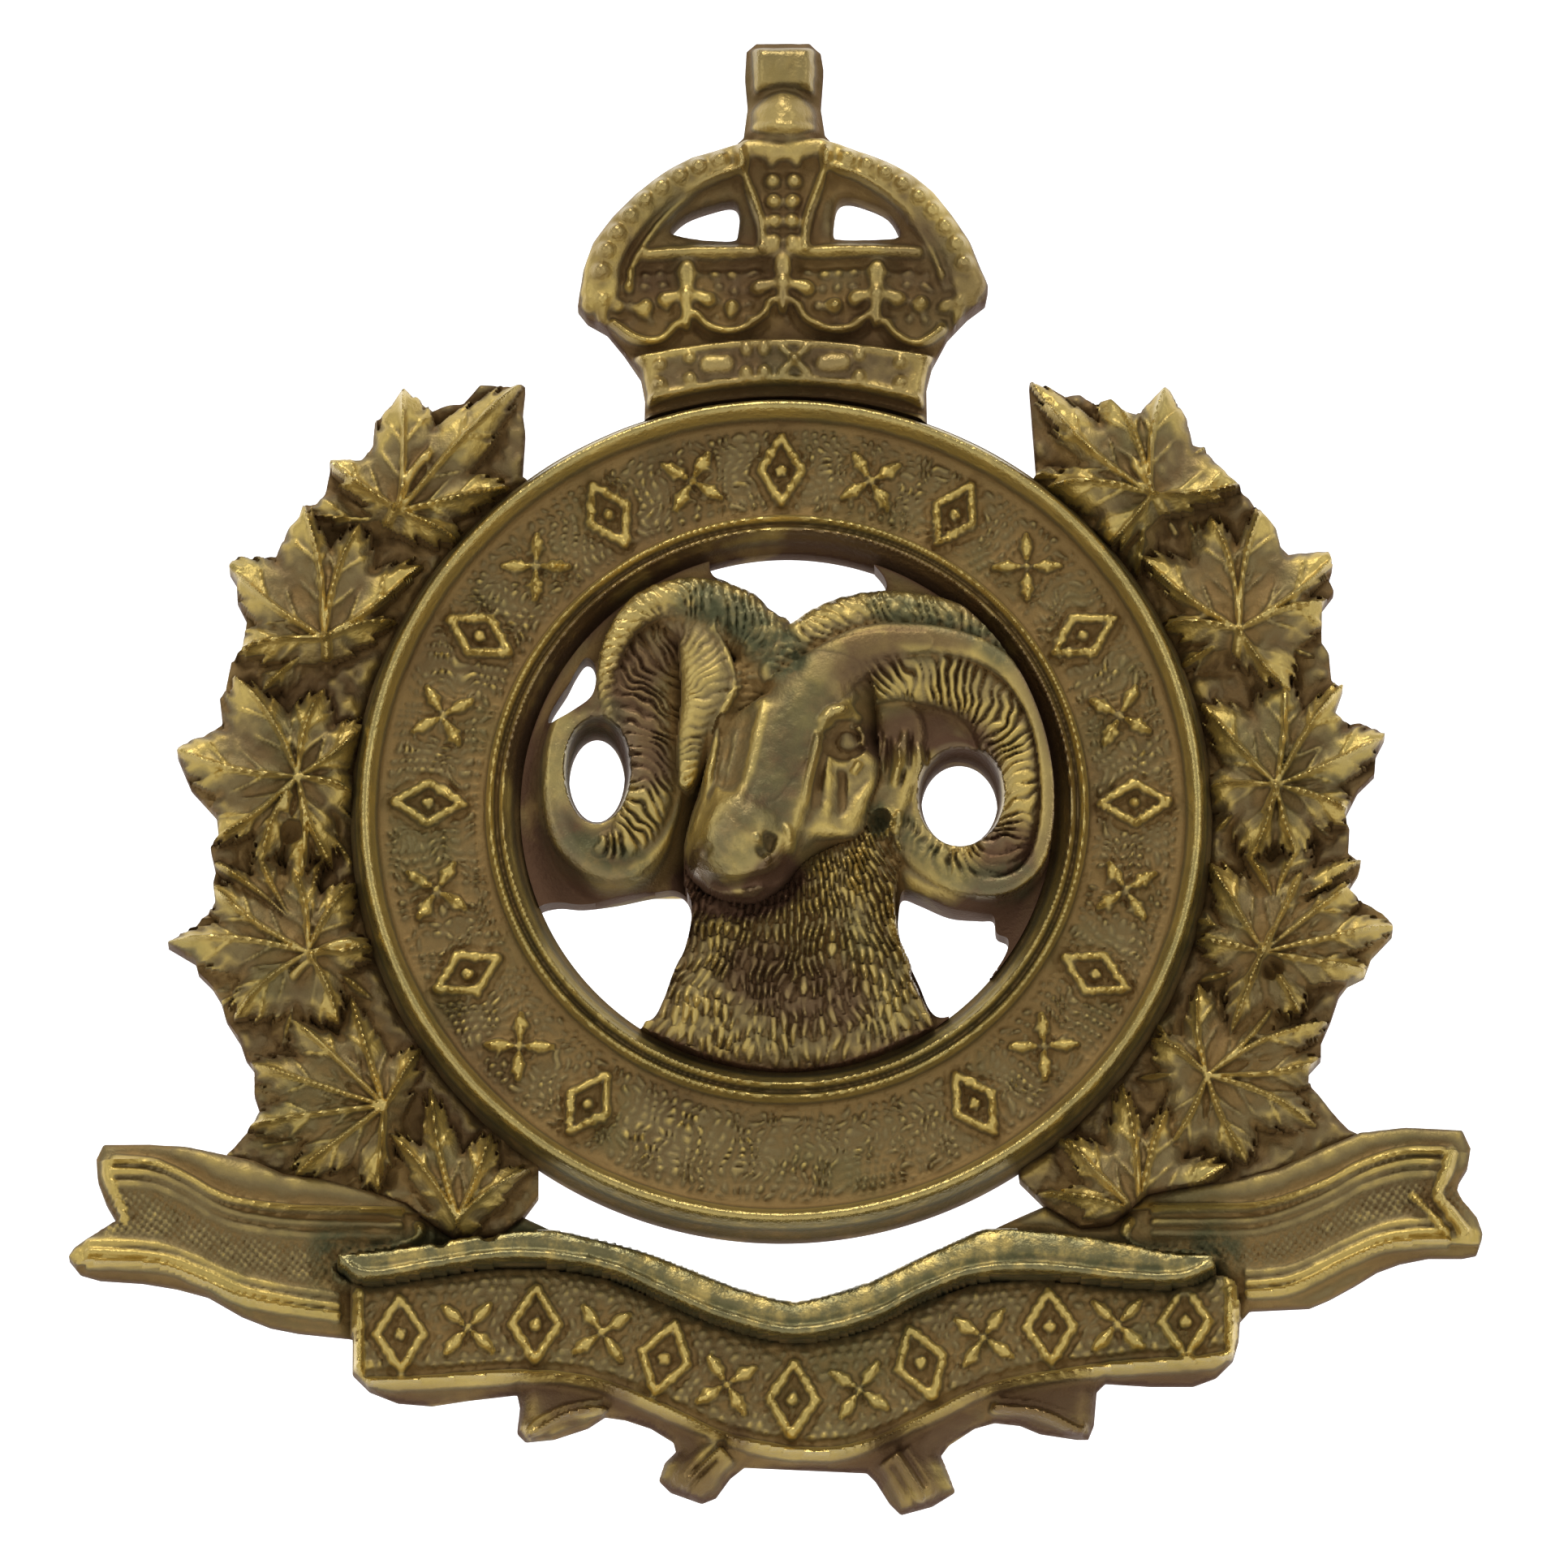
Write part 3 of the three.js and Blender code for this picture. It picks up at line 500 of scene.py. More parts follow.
def face(s):
    """The long nose from the forehead down to the muzzle, with its eye and cheek."""
    before = s.height.copy()
    s.overlay(smooth(FACE, 5, closed=True), face_surface, shadow=0.3, lip=0.08)
    # the forehead grows out of the horns' roots without an edge
    brow = step_up(s.y - 0.25 * s.x, 2.9, 4.4)
    s.height += brow * (soft_max(before, s.height, 0.4) - s.height)
    crown = smooth([(-0.6, 0.6), (0.15, 2.6), (0.8, 4.0), (1.9, 5.0), (3.4, 5.7), (5.0, 5.95)], 8)
    tube(s, crown, (0.7, 1.15, 1.2, 1.0, 0.6, 0.35), (4.2, 4.15, 3.95, 3.7, 3.4, 3.1), power=2.2,
         blend=0.35)
    for points, width, height, taper in FACE_LINES:
        s.rib(points, width, height, taper)
    for k in range(4):
        line = np.array([(-1.55 - 0.2 * k, 2.9 - 0.5 * k), (-2.0 - 0.22 * k, 0.9 - 0.5 * k)])
        s.ridge(line, 0.16, 0.1 - 0.2 * (k % 2), (0.2, 0.2))
    # the eye in its socket
    s.boss((2.2, 2.35), 0.85, -0.50, squash=0.72, turn=5)
    s.boss((2.35, 2.45), 0.44, 0.38, squash=0.85, turn=5)
    # painted shade: brown in the eye's socket
    s.tarnish_and_shade(smooth([(1.9, 2.5), (2.6, 2.5)]), 0.5, 0.6, brown=True)
    s.tarnish_and_shade(smooth([(0.9, 3.6), (0.1, 1.6), (-0.6, -0.4), (-1.8, -1.8)]), 1.4, 0.6)
    s.tarnish_and_shade(smooth([(3.4, 5.6), (1.6, 4.6), (0.6, 2.8), (-0.2, 0.6), (-1.6, -1.6)]), 1.3, 0.7,
              brown=True)
    # painted shade: brown under the muzzle, which faces down
    s.tarnish_and_shade(smooth([(-3.1, -2.2), (-2.0, -3.1), (-0.8, -3.1), (0.1, -2.6)]), 1.1, 1.3, brown=True)
    s.tarnish_and_shade(smooth([(-0.9, -5.8), (0.6, -6.6), (1.8, -6.8)]), 1.8, 0.7, brown=True)


def ear_and_folds(s):
    """Strands of fleece that hang from the horn past the cheek, and the ear's dark hollow."""
    patch = smooth([(2.6, 4.0), (4.6, 4.2), (5.3, 2.9), (4.9, 1.2), (4.4, -0.4), (3.4, -1.3),
                    (2.6, -0.6)], 6, closed=True)
    w = s.near(patch, 0.6)
    rise = step_up(depth_in(patch, s.x[w], s.y[w]), -0.35, 0.5)
    s.height[w] = np.maximum(s.height[w], 1.9 + 0.75 * rise)
    for x, top, foot, bow in ((3.25, 3.1, 1.1, 0.10), (3.6, 2.9, 1.2, -0.05), (4.0, 2.7, 0.7, 0.12),
                              (4.4, 3.1, 1.3, -0.10), (4.85, 2.6, 0.8, 0.08)):
        hang = smooth([(x, top), (x + bow, (top + foot) / 2), (x - 0.1, foot)], 8)
        s.ridge(hang, 0.24, 0.30, (0.3, 0.3))
        s.ridge(hang + (0.2, 0.0), 0.15, -0.18, (0.3, 0.3))
    s.boss((3.45, -0.35), 0.5, -0.65, squash=0.8, turn=65)
    s.rib([(4.15, 0.1), (4.15, -0.4), (3.9, -0.9)], 0.2, 0.26, (0.2, 0.2))
    s.tarnish_and_shade([(3.45, -0.5), (3.45, 0.0)], 0.6, 0.9)


def neck_form(x, y, depth):
    """The neck's rounded form, with the cheek swelling out of it."""
    form = 1.8 + 0.8 * step_up(depth, 0, 1.5) - 0.85 * step_up(-y, 6.8, 9.6)
    return form + 0.75 * np.exp(-((x - 2.0) / 1.9) ** 2 - ((y + 2.4) / 2.2) ** 2)


def fleece(s, neck, face_edge):
    """Tufts over the neck, which run out into long hair at its foot."""
    fur = 1.2 * tufts(s.x, s.y, (0.6, 5.0), 0.33, 0.68, 21)
    hair = strands(s.x, s.y, (0.4, 8.0), 41)
    low = step_up(-s.y, 5.8, 8.0)
    coat = (fur * (1 - 0.35 * low) + 0.8 * hair * low) * step_up(9.5 + s.y, -0.3, 0.5)
    bare = (depth_in(neck, s.x, s.y) <= 0) | (depth_in(face_edge, s.x, s.y) >= 0)
    s.height += np.where(bare | (s.y >= 0.4), 0, coat) * step_up(-s.y, -0.4, 0.9)


def make_ram():
    """The ram's head and neck on a thin web, pierced round the head and through the curls."""
    s = Sheet(-9.8, -9.8, 9.8, 10.2, 0.052, height=1.0)
    r = centre_radius(s.x, s.y)
    s.height += 0.25 * step_up(r, 8.2, 9.4)
    for centre, wide, tall in FLANKS:
        gap = np.hypot((s.x - centre[0]) / wide, (s.y - centre[1]) / tall)
        s.height = np.maximum(s.height, 1.0 + 1.3 * step_up(1.12 - gap, 0.0, 0.24))
    # painted shade: brown on the lower flanks between the horns and the ring, which face down
    s.tarnish_and_shade(arc(8.2, 185, 222, 16), 1.6, 0.9, brown=True)
    s.tarnish_and_shade(arc(8.2, 315, 350, 16), 1.6, 0.9, brown=True)
    neck, cheek, face_edge = (smooth(p, n, closed=True) for p, n in ((NECK, 6), (CHEEK, 6), (FACE, 5)))
    s.overlay(neck, neck_form)
    left_horn(s)
    right_horn(s)
    ear_and_folds(s)
    s.overlay(cheek, lambda x, y, _: neck_form(x, y, depth_in(neck, x, y)), shadow=0.0, lip=0.0)
    fleece(s, neck, face_edge)
    face(s)
    s.height += 0.015 * noise(s.x, s.y, 0.5, 9)
    mask = VOID_RADIUS + 0.03 - r
    for outline in VOIDS:
        mask = np.minimum(mask, -depth_in(smooth(outline, 5, closed=True), s.x, s.y))
    # the sheet dishes down to thin edges round the curls' holes
    for centre, wide, tall in CURL_HOLES:
        gap = np.hypot((s.x - centre[0]) / wide, (s.y - centre[1]) / tall) - 1
        gap *= min(wide, tall)
        s.height = np.minimum(s.height, 1.3 + 6.0 * np.maximum(gap, 0))
        mask = np.minimum(mask, gap)
    # painted shade: brown along the edges of the openings, the curls' holes and the rim
    s.brown += 0.8 * np.exp(-np.maximum(mask, 0) / 0.3)
    return s, mask


# ---------------------------------------------------------------- maple wreath
LEFT_EDGE = [
    (-9.2, 12.6), (-9.1, 14.2), (-9.2, 14.9), (-9.1, 15.9), (-10.7, 15.9), (-11.3, 15.3),
    (-12.4, 15.0), (-13.4, 15.7), (-14.0, 14.9), (-14.45, 14.6), (-14.5, 13.6), (-14.9, 13.0),
    (-16.0, 13.0), (-16.2, 12.0), (-16.5, 11.6), (-16.95, 11.6), (-17.1, 11.0), (-17.5, 10.6),
    (-17.9, 9.7), (-19.4, 9.6), (-19.6, 9.2), (-19.3, 8.7), (-19.3, 8.1), (-18.95, 7.4),
    (-19.1, 6.1), (-19.5, 5.9), (-19.7, 4.8), (-19.9, 4.5), (-19.8, 3.6), (-20.3, 3.2),
    (-21.3, 2.8), (-21.4, 2.5), (-20.9, 1.3), (-20.0, 0.3), (-19.9, -0.6), (-20.2, -0.9),
    (-20.0, -1.8), (-20.1, -2.2), (-20.0, -3.0), (-20.7, -3.7), (-21.7, -4.4), (-20.7, -5.0),
    (-20.6, -5.4), (-20.1, -5.9), (-19.8, -6.4), (-19.6, -7.1), (-19.1, -7.9), (-18.9, -8.5),
    (-18.6, -8.9), (-18.6, -9.8), (-18.4, -10.4), (-18.6, -10.9),
]
RIGHT_EDGE = [
    (20.0, -11.1), (19.4, -10.5), (18.6, -9.4), (18.6, -9.0), (19.05, -8.5), (19.05, -7.9),
    (19.4, -7.1), (19.7, -6.2), (20.0, -5.8), (20.6, -5.5), (20.85, -4.8), (21.6, -4.0),
    (21.6, -3.7), (21.2, -3.3), (19.95, -2.5), (20.4, -1.8), (20.5, -1.4), (20.05, -1.1),
    (20.1, -0.2), (19.9, 0.2), (20.4, 1.2), (21.0, 1.8), (21.05, 2.5), (21.4, 3.2),
    (20.5, 3.6), (19.9, 3.6), (19.55, 3.9), (19.9, 4.9), (19.5, 5.2), (19.4, 6.1),
    (19.15, 6.5), (19.15, 7.8), (19.6, 8.4), (19.4, 8.8), (19.55, 9.3), (19.4, 9.8),
    (18.0, 9.7), (17.7, 9.9), (17.55, 10.6), (17.0, 11.2), (16.6, 11.8), (15.9, 12.4),
    (15.3, 13.1), (15.0, 13.6), (14.6, 13.6), (14.4, 14.6), (13.8, 15.6), (13.6, 15.7),
    (13.2, 15.3), (12.6, 14.7), (12.1, 14.7), (11.7, 15.2), (11.2, 15.2), (10.6, 15.6),
    (10.1, 15.5), (9.5, 15.9), (8.8, 16.0), (9.05, 12.6),
]
# where the scroll's upper edge lies over the foot of each branch
LEFT_JOIN = [
    (-19.6, -12.1), (-18.6, -12.3), (-17.5, -12.8), (-16.0, -13.0), (-14.5, -13.4),
    (-13.2, -13.8), (-12.6, -14.3), (-11.5, -15.0), (-10.0, -14.9), (-9.1, -14.2),
]
RIGHT_JOIN = [
    (9.3, -13.8), (10.6, -14.6), (11.6, -14.5), (12.3, -14.0), (12.9, -13.5), (14.0, -13.3),
    (16.0, -13.0), (17.5, -12.6), (19.0, -11.9), (20.4, -11.3),
]
# hub, level of the leaf, and the tips of its lobes
LEFT_LEAVES = [
    ((-17.2, -3.9), 1.15, [(-20.6, -1.2), (-16.2, -1.4), (-18.6, -0.9)]),
    ((-14.0, -10.5), 1.25, [(-19.0, -8.7), (-19.1, -11.1), (-17.2, -12.9), (-15.2, -6.3),
                            (-12.7, -8.2), (-17.6, -6.9), (-14.2, -13.5)]),
    ((-11.4, -14.6), 1.45, [(-12.4, -9.6), (-13.9, -11.3), (-10.2, -11.3), (-8.8, -12.6)]),
    ((-16.7, -5.0), 1.4, [(-21.9, -4.4), (-20.4, -2.2), (-17.3, -1.6), (-15.0, -2.2),
                          (-14.3, -4.6), (-19.3, -7.2), (-15.6, -7.5)]),
    ((-17.1, 1.4), 1.3, [(-21.7, 2.6), (-19.4, 5.3), (-16.2, 4.8), (-14.6, 3.6), (-14.7, 0.7),
                         (-20.4, -0.9), (-18.4, -1.6), (-15.9, -1.7), (-17.1, -2.9)]),
    ((-16.2, 6.4), 1.45, [(-17.1, 11.8), (-19.9, 9.5), (-19.6, 6.0), (-14.9, 10.9),
                          (-12.7, 9.3), (-13.6, 7.2)]),
    ((-13.5, 11.0), 1.6, [(-9.0, 16.2), (-13.5, 15.9), (-16.4, 13.2), (-9.6, 12.1),
                          (-11.2, 9.9)]),
]
RIGHT_LEAVES = [
    ((17.4, -3.2), 1.1, [(20.7, -1.3), (18.6, -0.6), (16.3, -1.1)]),
    ((15.0, -9.4), 1.25, [(19.4, -7.2), (19.4, -8.7), (18.9, -11.1), (14.7, -5.9),
                          (13.0, -7.9), (16.4, -12.4), (13.4, -12.2), (17.6, -6.4)]),
    ((12.6, -14.4), 1.5, [(12.0, -9.4), (13.6, -10.4), (10.0, -11.5), (9.6, -13.6),
                          (15.8, -12.5)]),
    ((17.0, -5.0), 1.4, [(21.9, -3.8), (20.6, -2.0), (18.4, -1.9), (15.0, -1.4),
                         (14.6, -4.4), (21.0, -5.6), (18.3, -7.1), (15.8, -7.9)]),
    ((17.5, 1.1), 1.3, [(21.7, 3.2), (20.1, 5.2), (17.8, 5.3), (14.8, 4.3), (14.7, 1.1),
                        (20.4, 0.1), (18.2, -1.4), (16.6, -1.5)]),
    ((16.2, 6.7), 1.45, [(17.3, 12.0), (19.9, 9.9), (19.8, 7.9), (15.2, 11.1), (12.7, 9.6),
                         (13.4, 7.0), (18.0, 4.6)]),
    ((13.1, 11.6), 1.6, [(8.6, 16.3), (11.4, 15.9), (13.7, 16.0), (16.6, 12.2), (9.3, 12.1),
                         (11.2, 9.6)]),
]


LEFT_STALKS = [
    [(-14.3, 10.3), (-13.6, 11.2), (-13.0, 12.5), (-12.2, 13.5)],
    [(-17.4, -6.0), (-16.2, -4.9), (-14.7, -4.4)],
    [(-17.6, 0.1), (-17.3, 0.9)], [(-16.1, 5.4), (-16.1, 6.6)],
]
RIGHT_STALKS = [
    [(14.2, 10.2), (13.3, 11.4), (12.2, 13.2)], [(16.4, -6.2), (16.9, -5.1), (17.4, -4.0)],
    [(17.1, 0.0), (17.5, 1.2)], [(16.0, 5.4), (16.2, 6.8)],
]


def leaf_edge(arms):
    """A maple leaf's edge about its hub: out to each tip and back to a notch, with teeth."""
    turn = lambda v: math.atan2(v[1], v[0])
    edge = []
    for arm, following in zip(arms, arms[1:] + arms[:1]):
        gap = (turn(following) - turn(arm)) % (2 * math.pi)
        share = 0.72 if gap < 1.3 else 0.54 if gap < 2.1 else 0.26
        middle = turn(arm) + gap / 2
        out = np.array([math.cos(middle), math.sin(middle)])
        size = min(np.hypot(*arm), np.hypot(*following))
        notch = share * size * out
        teeth = ((0.36, 0.0), (0.31, 0.10), (0.68, 0.0), (0.62, 0.09))
        side = [arm + (notch - arm) * t + out * push * size for t, push in teeth]
        other = [following + (notch - following) * t + out * push * size for t, push in teeth]
        edge += [arm, *side, notch, *other[::-1]]
    return np.array(edge)


def leaf(sheet, hub, level, tips, seed):
    """A maple leaf: a vein runs to each tip, and the blade folds down between the veins."""
    hub = np.asarray(hub, float)
    arms = sorted((np.asarray(tip) - hub for tip in tips), key=lambda v: math.atan2(v[1], v[0]))
    outline = hub + leaf_edge(arms)
    w = sheet.near(outline, 0.5)
    x, y = sheet.x[w], sheet.y[w]
    depth = depth_in(outline, x, y)
    vein = np.full(x.shape, 9.0)
    ribs = np.zeros(x.shape)
    for k, arm in enumerate(arms):
        size = math.hypot(*arm)
        u, v = arm / size
        along = (x - hub[0]) * u + (y - hub[1]) * v
        across = (y - hub[1]) * u - (x - hub[0]) * v
        share = np.clip(along / size, 0, 1)
        across = across - 0.06 * size * math.sin(3.1 * k + seed) * np.sin(np.pi * share)
        here = np.where((along > -0.1) & (along < size), np.abs(across), 9.0)
        ribs = np.maximum(ribs, crest(here, 0.17 - 0.06 * share) * step_up(1 - share, 0.0, 0.25))
        vein = np.minimum(vein, here)
        # two side ribs leave each vein and run out towards the teeth
        for start in (0.22, 0.5):
            off = np.abs(across) - 0.7 * (along - start * size)
            rib = crest(off, 0.12) * (along > start * size) * step_up(0.9 - np.abs(across), 0, 0.3)
            ribs = np.maximum(ribs, 0.45 * rib * step_up(size, 2.0, 3.5) * (share < 1))
    reach = np.hypot(x - hub[0], y - hub[1])
    fold = np.exp(-vein / (0.30 + 0.16 * reach))
    top = level + 0.52 * fold + 0.26 * ribs + 0.26 * step_up(depth, 0.0, 0.5)
    top = top - 0.018 * reach**2 - 0.10 * np.exp(-(reach / 0.5) ** 2)
    top = top + 0.07 * noise(x, y, 0.9, seed) + 0.035 * noise(x, y, 0.3, seed + 2)
    old = sheet.height[w]
    lying = top - 0.12 * np.exp(-np.maximum(depth, 0) / 0.1)
    crease = old - 0.20 * np.exp(np.minimum(depth, 0) / 0.25)
    sheet.height[w] = np.where(depth > 0, np.maximum(lying, old - 0.15), crease)
    # painted shade: brown in the blade's folds away from the veins
    sheet.brown[w] = np.where(depth > 0.1, 0.35 * (1 - step_up(fold, 0.1, 0.5)), sheet.brown[w])

UNDER_LEAF_TURN = 34.0    # degrees between a leaf and the lower one behind it


def rotate(points, degrees):
    """Points turned about the origin."""
    c, s = math.cos(math.radians(degrees)), math.sin(math.radians(degrees))
    return points @ np.array([(c, s), (-s, c)])


def make_wreath(leaves, outline, box, stalks, pits, seed):
    """One branch of the wreath, cut to its outline and to the circlet's edge."""
    s = Sheet(*box, 0.07, height=1.25)
    # painted shade: the branch starts brown all over, and this stays in the gaps between the leaves
    s.brown += 0.35
    s.height += 0.20 * noise(s.x, s.y, 0.8, seed) + 0.08 * noise(s.x, s.y, 0.3, seed + 1)
    # every leaf lies on a lower one that is turned, so the gaps show leaf behind leaf
    for k, (hub, level, tips) in enumerate(leaves):
        turned = rotate(np.asarray(tips) - hub, UNDER_LEAF_TURN) + hub
        leaf(s, hub, level - 0.5, turned, seed + 10 * k + 5)
    s.height -= 0.1
    for k, (hub, level, tips) in enumerate(leaves):
        leaf(s, hub, level, tips, seed + 10 * k)
    for stalk in stalks:
        s.rib(stalk, 0.24, 0.42, (0.1, 0.2))
    for spot in pits:
        s.boss(spot, 0.42, -0.7)
    r = centre_radius(s.x, s.y)
    s.height -= 0.25 * np.exp(-np.maximum(r - CIRCLET_RADIUS, 0) / 0.3)
    s.height += 0.03 * noise(s.x, s.y, 0.25, seed + 5)
    mask = np.minimum(depth_in(outline, s.x, s.y), r - CIRCLET_RADIUS + 0.04)
    s.height -= 0.22 * np.exp(-np.maximum(mask, 0) / 0.14)
    return s, mask


def make_wreath_left():
    """The left branch."""
    outline = LEFT_EDGE + LEFT_JOIN + [(-8.3, -13.1), (-8.0, -10.0), (-5.0, 0.0), (-8.0, 12.0)]
    return make_wreath(LEFT_LEAVES, outline, (-22.0, -15.4, -8.6, 16.3),
                       LEFT_STALKS, [(-17.3, -0.5)], 100)


def make_wreath_right():
    """The right branch."""
    outline = RIGHT_JOIN + RIGHT_EDGE + [(8.0, 12.0), (5.0, 0.0), (8.0, -10.0), (8.4, -12.9)]
    return make_wreath(RIGHT_LEAVES, outline, (7.9, -15.0, 22.0, 16.4),
                       RIGHT_STALKS, [(17.3, -5.5)], 300)


# ---------------------------------------------------------------- crown
CROWN_EDGE = [
    (5.2, 13.0), (5.15, 15.9), (5.35, 16.7), (5.9, 17.75), (6.6, 18.5), (7.25, 19.0),
    (7.35, 19.5), (7.1, 20.0), (6.7, 21.0), (6.1, 21.9), (5.4, 22.8), (4.6, 23.5),
    (3.8, 23.9), (2.8, 24.25), (2.0, 24.6), (1.55, 25.1), (1.4, 26.1), (1.5, 27.5),
    (1.4, 28.15), (1.0, 28.5), (-0.9, 28.5), (-1.25, 28.2), (-1.3, 27.3), (-1.2, 26.15),
    (-1.35, 25.0), (-1.75, 24.6), (-2.4, 24.3), (-3.2, 24.1), (-4.2, 23.5), (-5.2, 22.7),
    (-6.0, 21.9), (-6.7, 21.0), (-7.05, 20.0), (-7.15, 19.4), (-7.25, 18.8), (-6.9, 18.35),
    (-6.2, 17.95), (-5.6, 17.2), (-5.0, 16.3), (-4.85, 15.5), (-4.9, 13.0),
]
CROWN_VOIDS = [
    [(-3.95, 21.55), (-3.4, 22.1), (-2.5, 22.45), (-1.75, 22.6), (-1.5, 22.25),
     (-1.55, 21.4), (-1.75, 21.15), (-2.9, 21.2), (-3.7, 21.35)],
    [(1.85, 21.35), (1.95, 22.45), (2.3, 22.75), (3.0, 22.6), (3.8, 22.2), (4.2, 21.5),
     (4.05, 21.25), (3.0, 21.2), (2.1, 21.2)],
]
# the scalloped rim of the coronet: the low line of each bay, left to right
BAYS = [
    [(-6.2, 18.2), (-5.2, 17.5), (-4.3, 17.45), (-3.5, 18.2)],
    [(-3.3, 18.6), (-2.6, 17.95), (-1.7, 17.75), (-0.8, 18.2), (-0.1, 19.1)],
    [(0.2, 19.1), (0.9, 18.2), (1.8, 17.8), (2.7, 18.0), (3.3, 18.6)],
    [(3.5, 18.3), (4.1, 17.6), (4.9, 17.3), (5.9, 18.0)],
]
LEFT_ARCH = [(-6.45, 19.3), (-6.3, 20.4), (-5.6, 21.6), (-4.5, 22.7), (-3.2, 23.5), (-1.6, 24.0)]
RIGHT_ARCH = [(6.65, 19.6), (6.3, 20.7), (5.6, 21.8), (4.6, 22.8), (3.3, 23.6), (1.8, 24.1)]


def pearls(s, line, count, radius, height):
    """A string of beads spaced evenly along a line."""
    for spot in spaced(smooth(line, 12), count)[0]:
        s.boss(spot, radius, height)


def fleur(s, base, top, spread, level):
    """A cross-like leaf that stands on the rim between two bays."""
    base, top = np.asarray(base), np.asarray(top)
    mid = (base + top) / 2
    tube(s, np.array([base, top]), (0.2, 0.30, 0.36), (level, level + 0.05))
    arm = np.array([[-spread, -0.1], [0.0, 0.1], [spread, -0.1]]) + mid
    tube(s, arm, (0.30, 0.2, 0.30), (level, level - 0.1, level))
    s.boss(mid, 0.26, 0.2)


# base, top, half width of the arms, and height
FLEURS = [
    ((-3.4, 18.0), (-3.35, 20.0), 0.75, 1.95), ((3.35, 18.1), (3.4, 20.0), 0.75, 1.95),
    ((0.05, 18.6), (0.05, 20.2), 0.85, 2.1),
    ((-6.4, 18.1), (-6.3, 19.5), 0.5, 1.75), ((6.3, 18.1), (6.4, 19.5), 0.5, 1.75),
]


def jewelled_band(s):
    """The band at the crown's foot, with paired pearls, two bars and a saltire on it."""
    low = smooth([(-4.75, 15.0), (-2.4, 15.5), (0.1, 15.7), (2.7, 15.5), (5.0, 15.0)])
    high = smooth([(-5.2, 16.9), (-2.4, 17.35), (0.1, 17.5), (2.7, 17.3), (5.4, 16.9)])
    s.overlay(np.vstack([low, high[::-1]]),
              lambda x, y, depth: 1.65 + 0.25 * step_up(depth, 0, 0.3) + 0.03 * noise(x, y, 0.3, 65),
              shadow=0.2)
    s.ridge(high + (0, -0.18), 0.2, 0.32)
    s.ridge(low + (0, 0.16), 0.2, 0.30)
    s.ridge(low + (0, -0.42), 0.24, 0.35)
    middle = (low + high) / 2
    middle_at = lambda x: np.interp(x, middle[:, 0], middle[:, 1])
    for x, apart, size in ((-3.25, 0.36, 0.26), (2.75, 0.36, 0.26), (4.2, 0.36, 0.26),
                           (-4.3, 0.36, 0.26), (-1.25, 0.4, 0.27), (-0.62, 0.4, 0.27)):
        s.boss((x, middle_at(x) + apart), size, 0.42)
        s.boss((x, middle_at(x) - apart), size, 0.42)
    for x in (-2.3, 1.85):
        bar = np.array([(x - 0.3, middle_at(x) - 0.02), (x + 0.3, middle_at(x) + 0.02)])
        tube(s, bar, (0.38, 0.38), (2.25, 2.25))
    cross = np.array((0.45, 16.6))
    for arm in np.array(((0.48, 0.48), (0.48, -0.48))):
        s.ridge(np.array([cross - arm, cross + arm]), 0.2, 0.4)


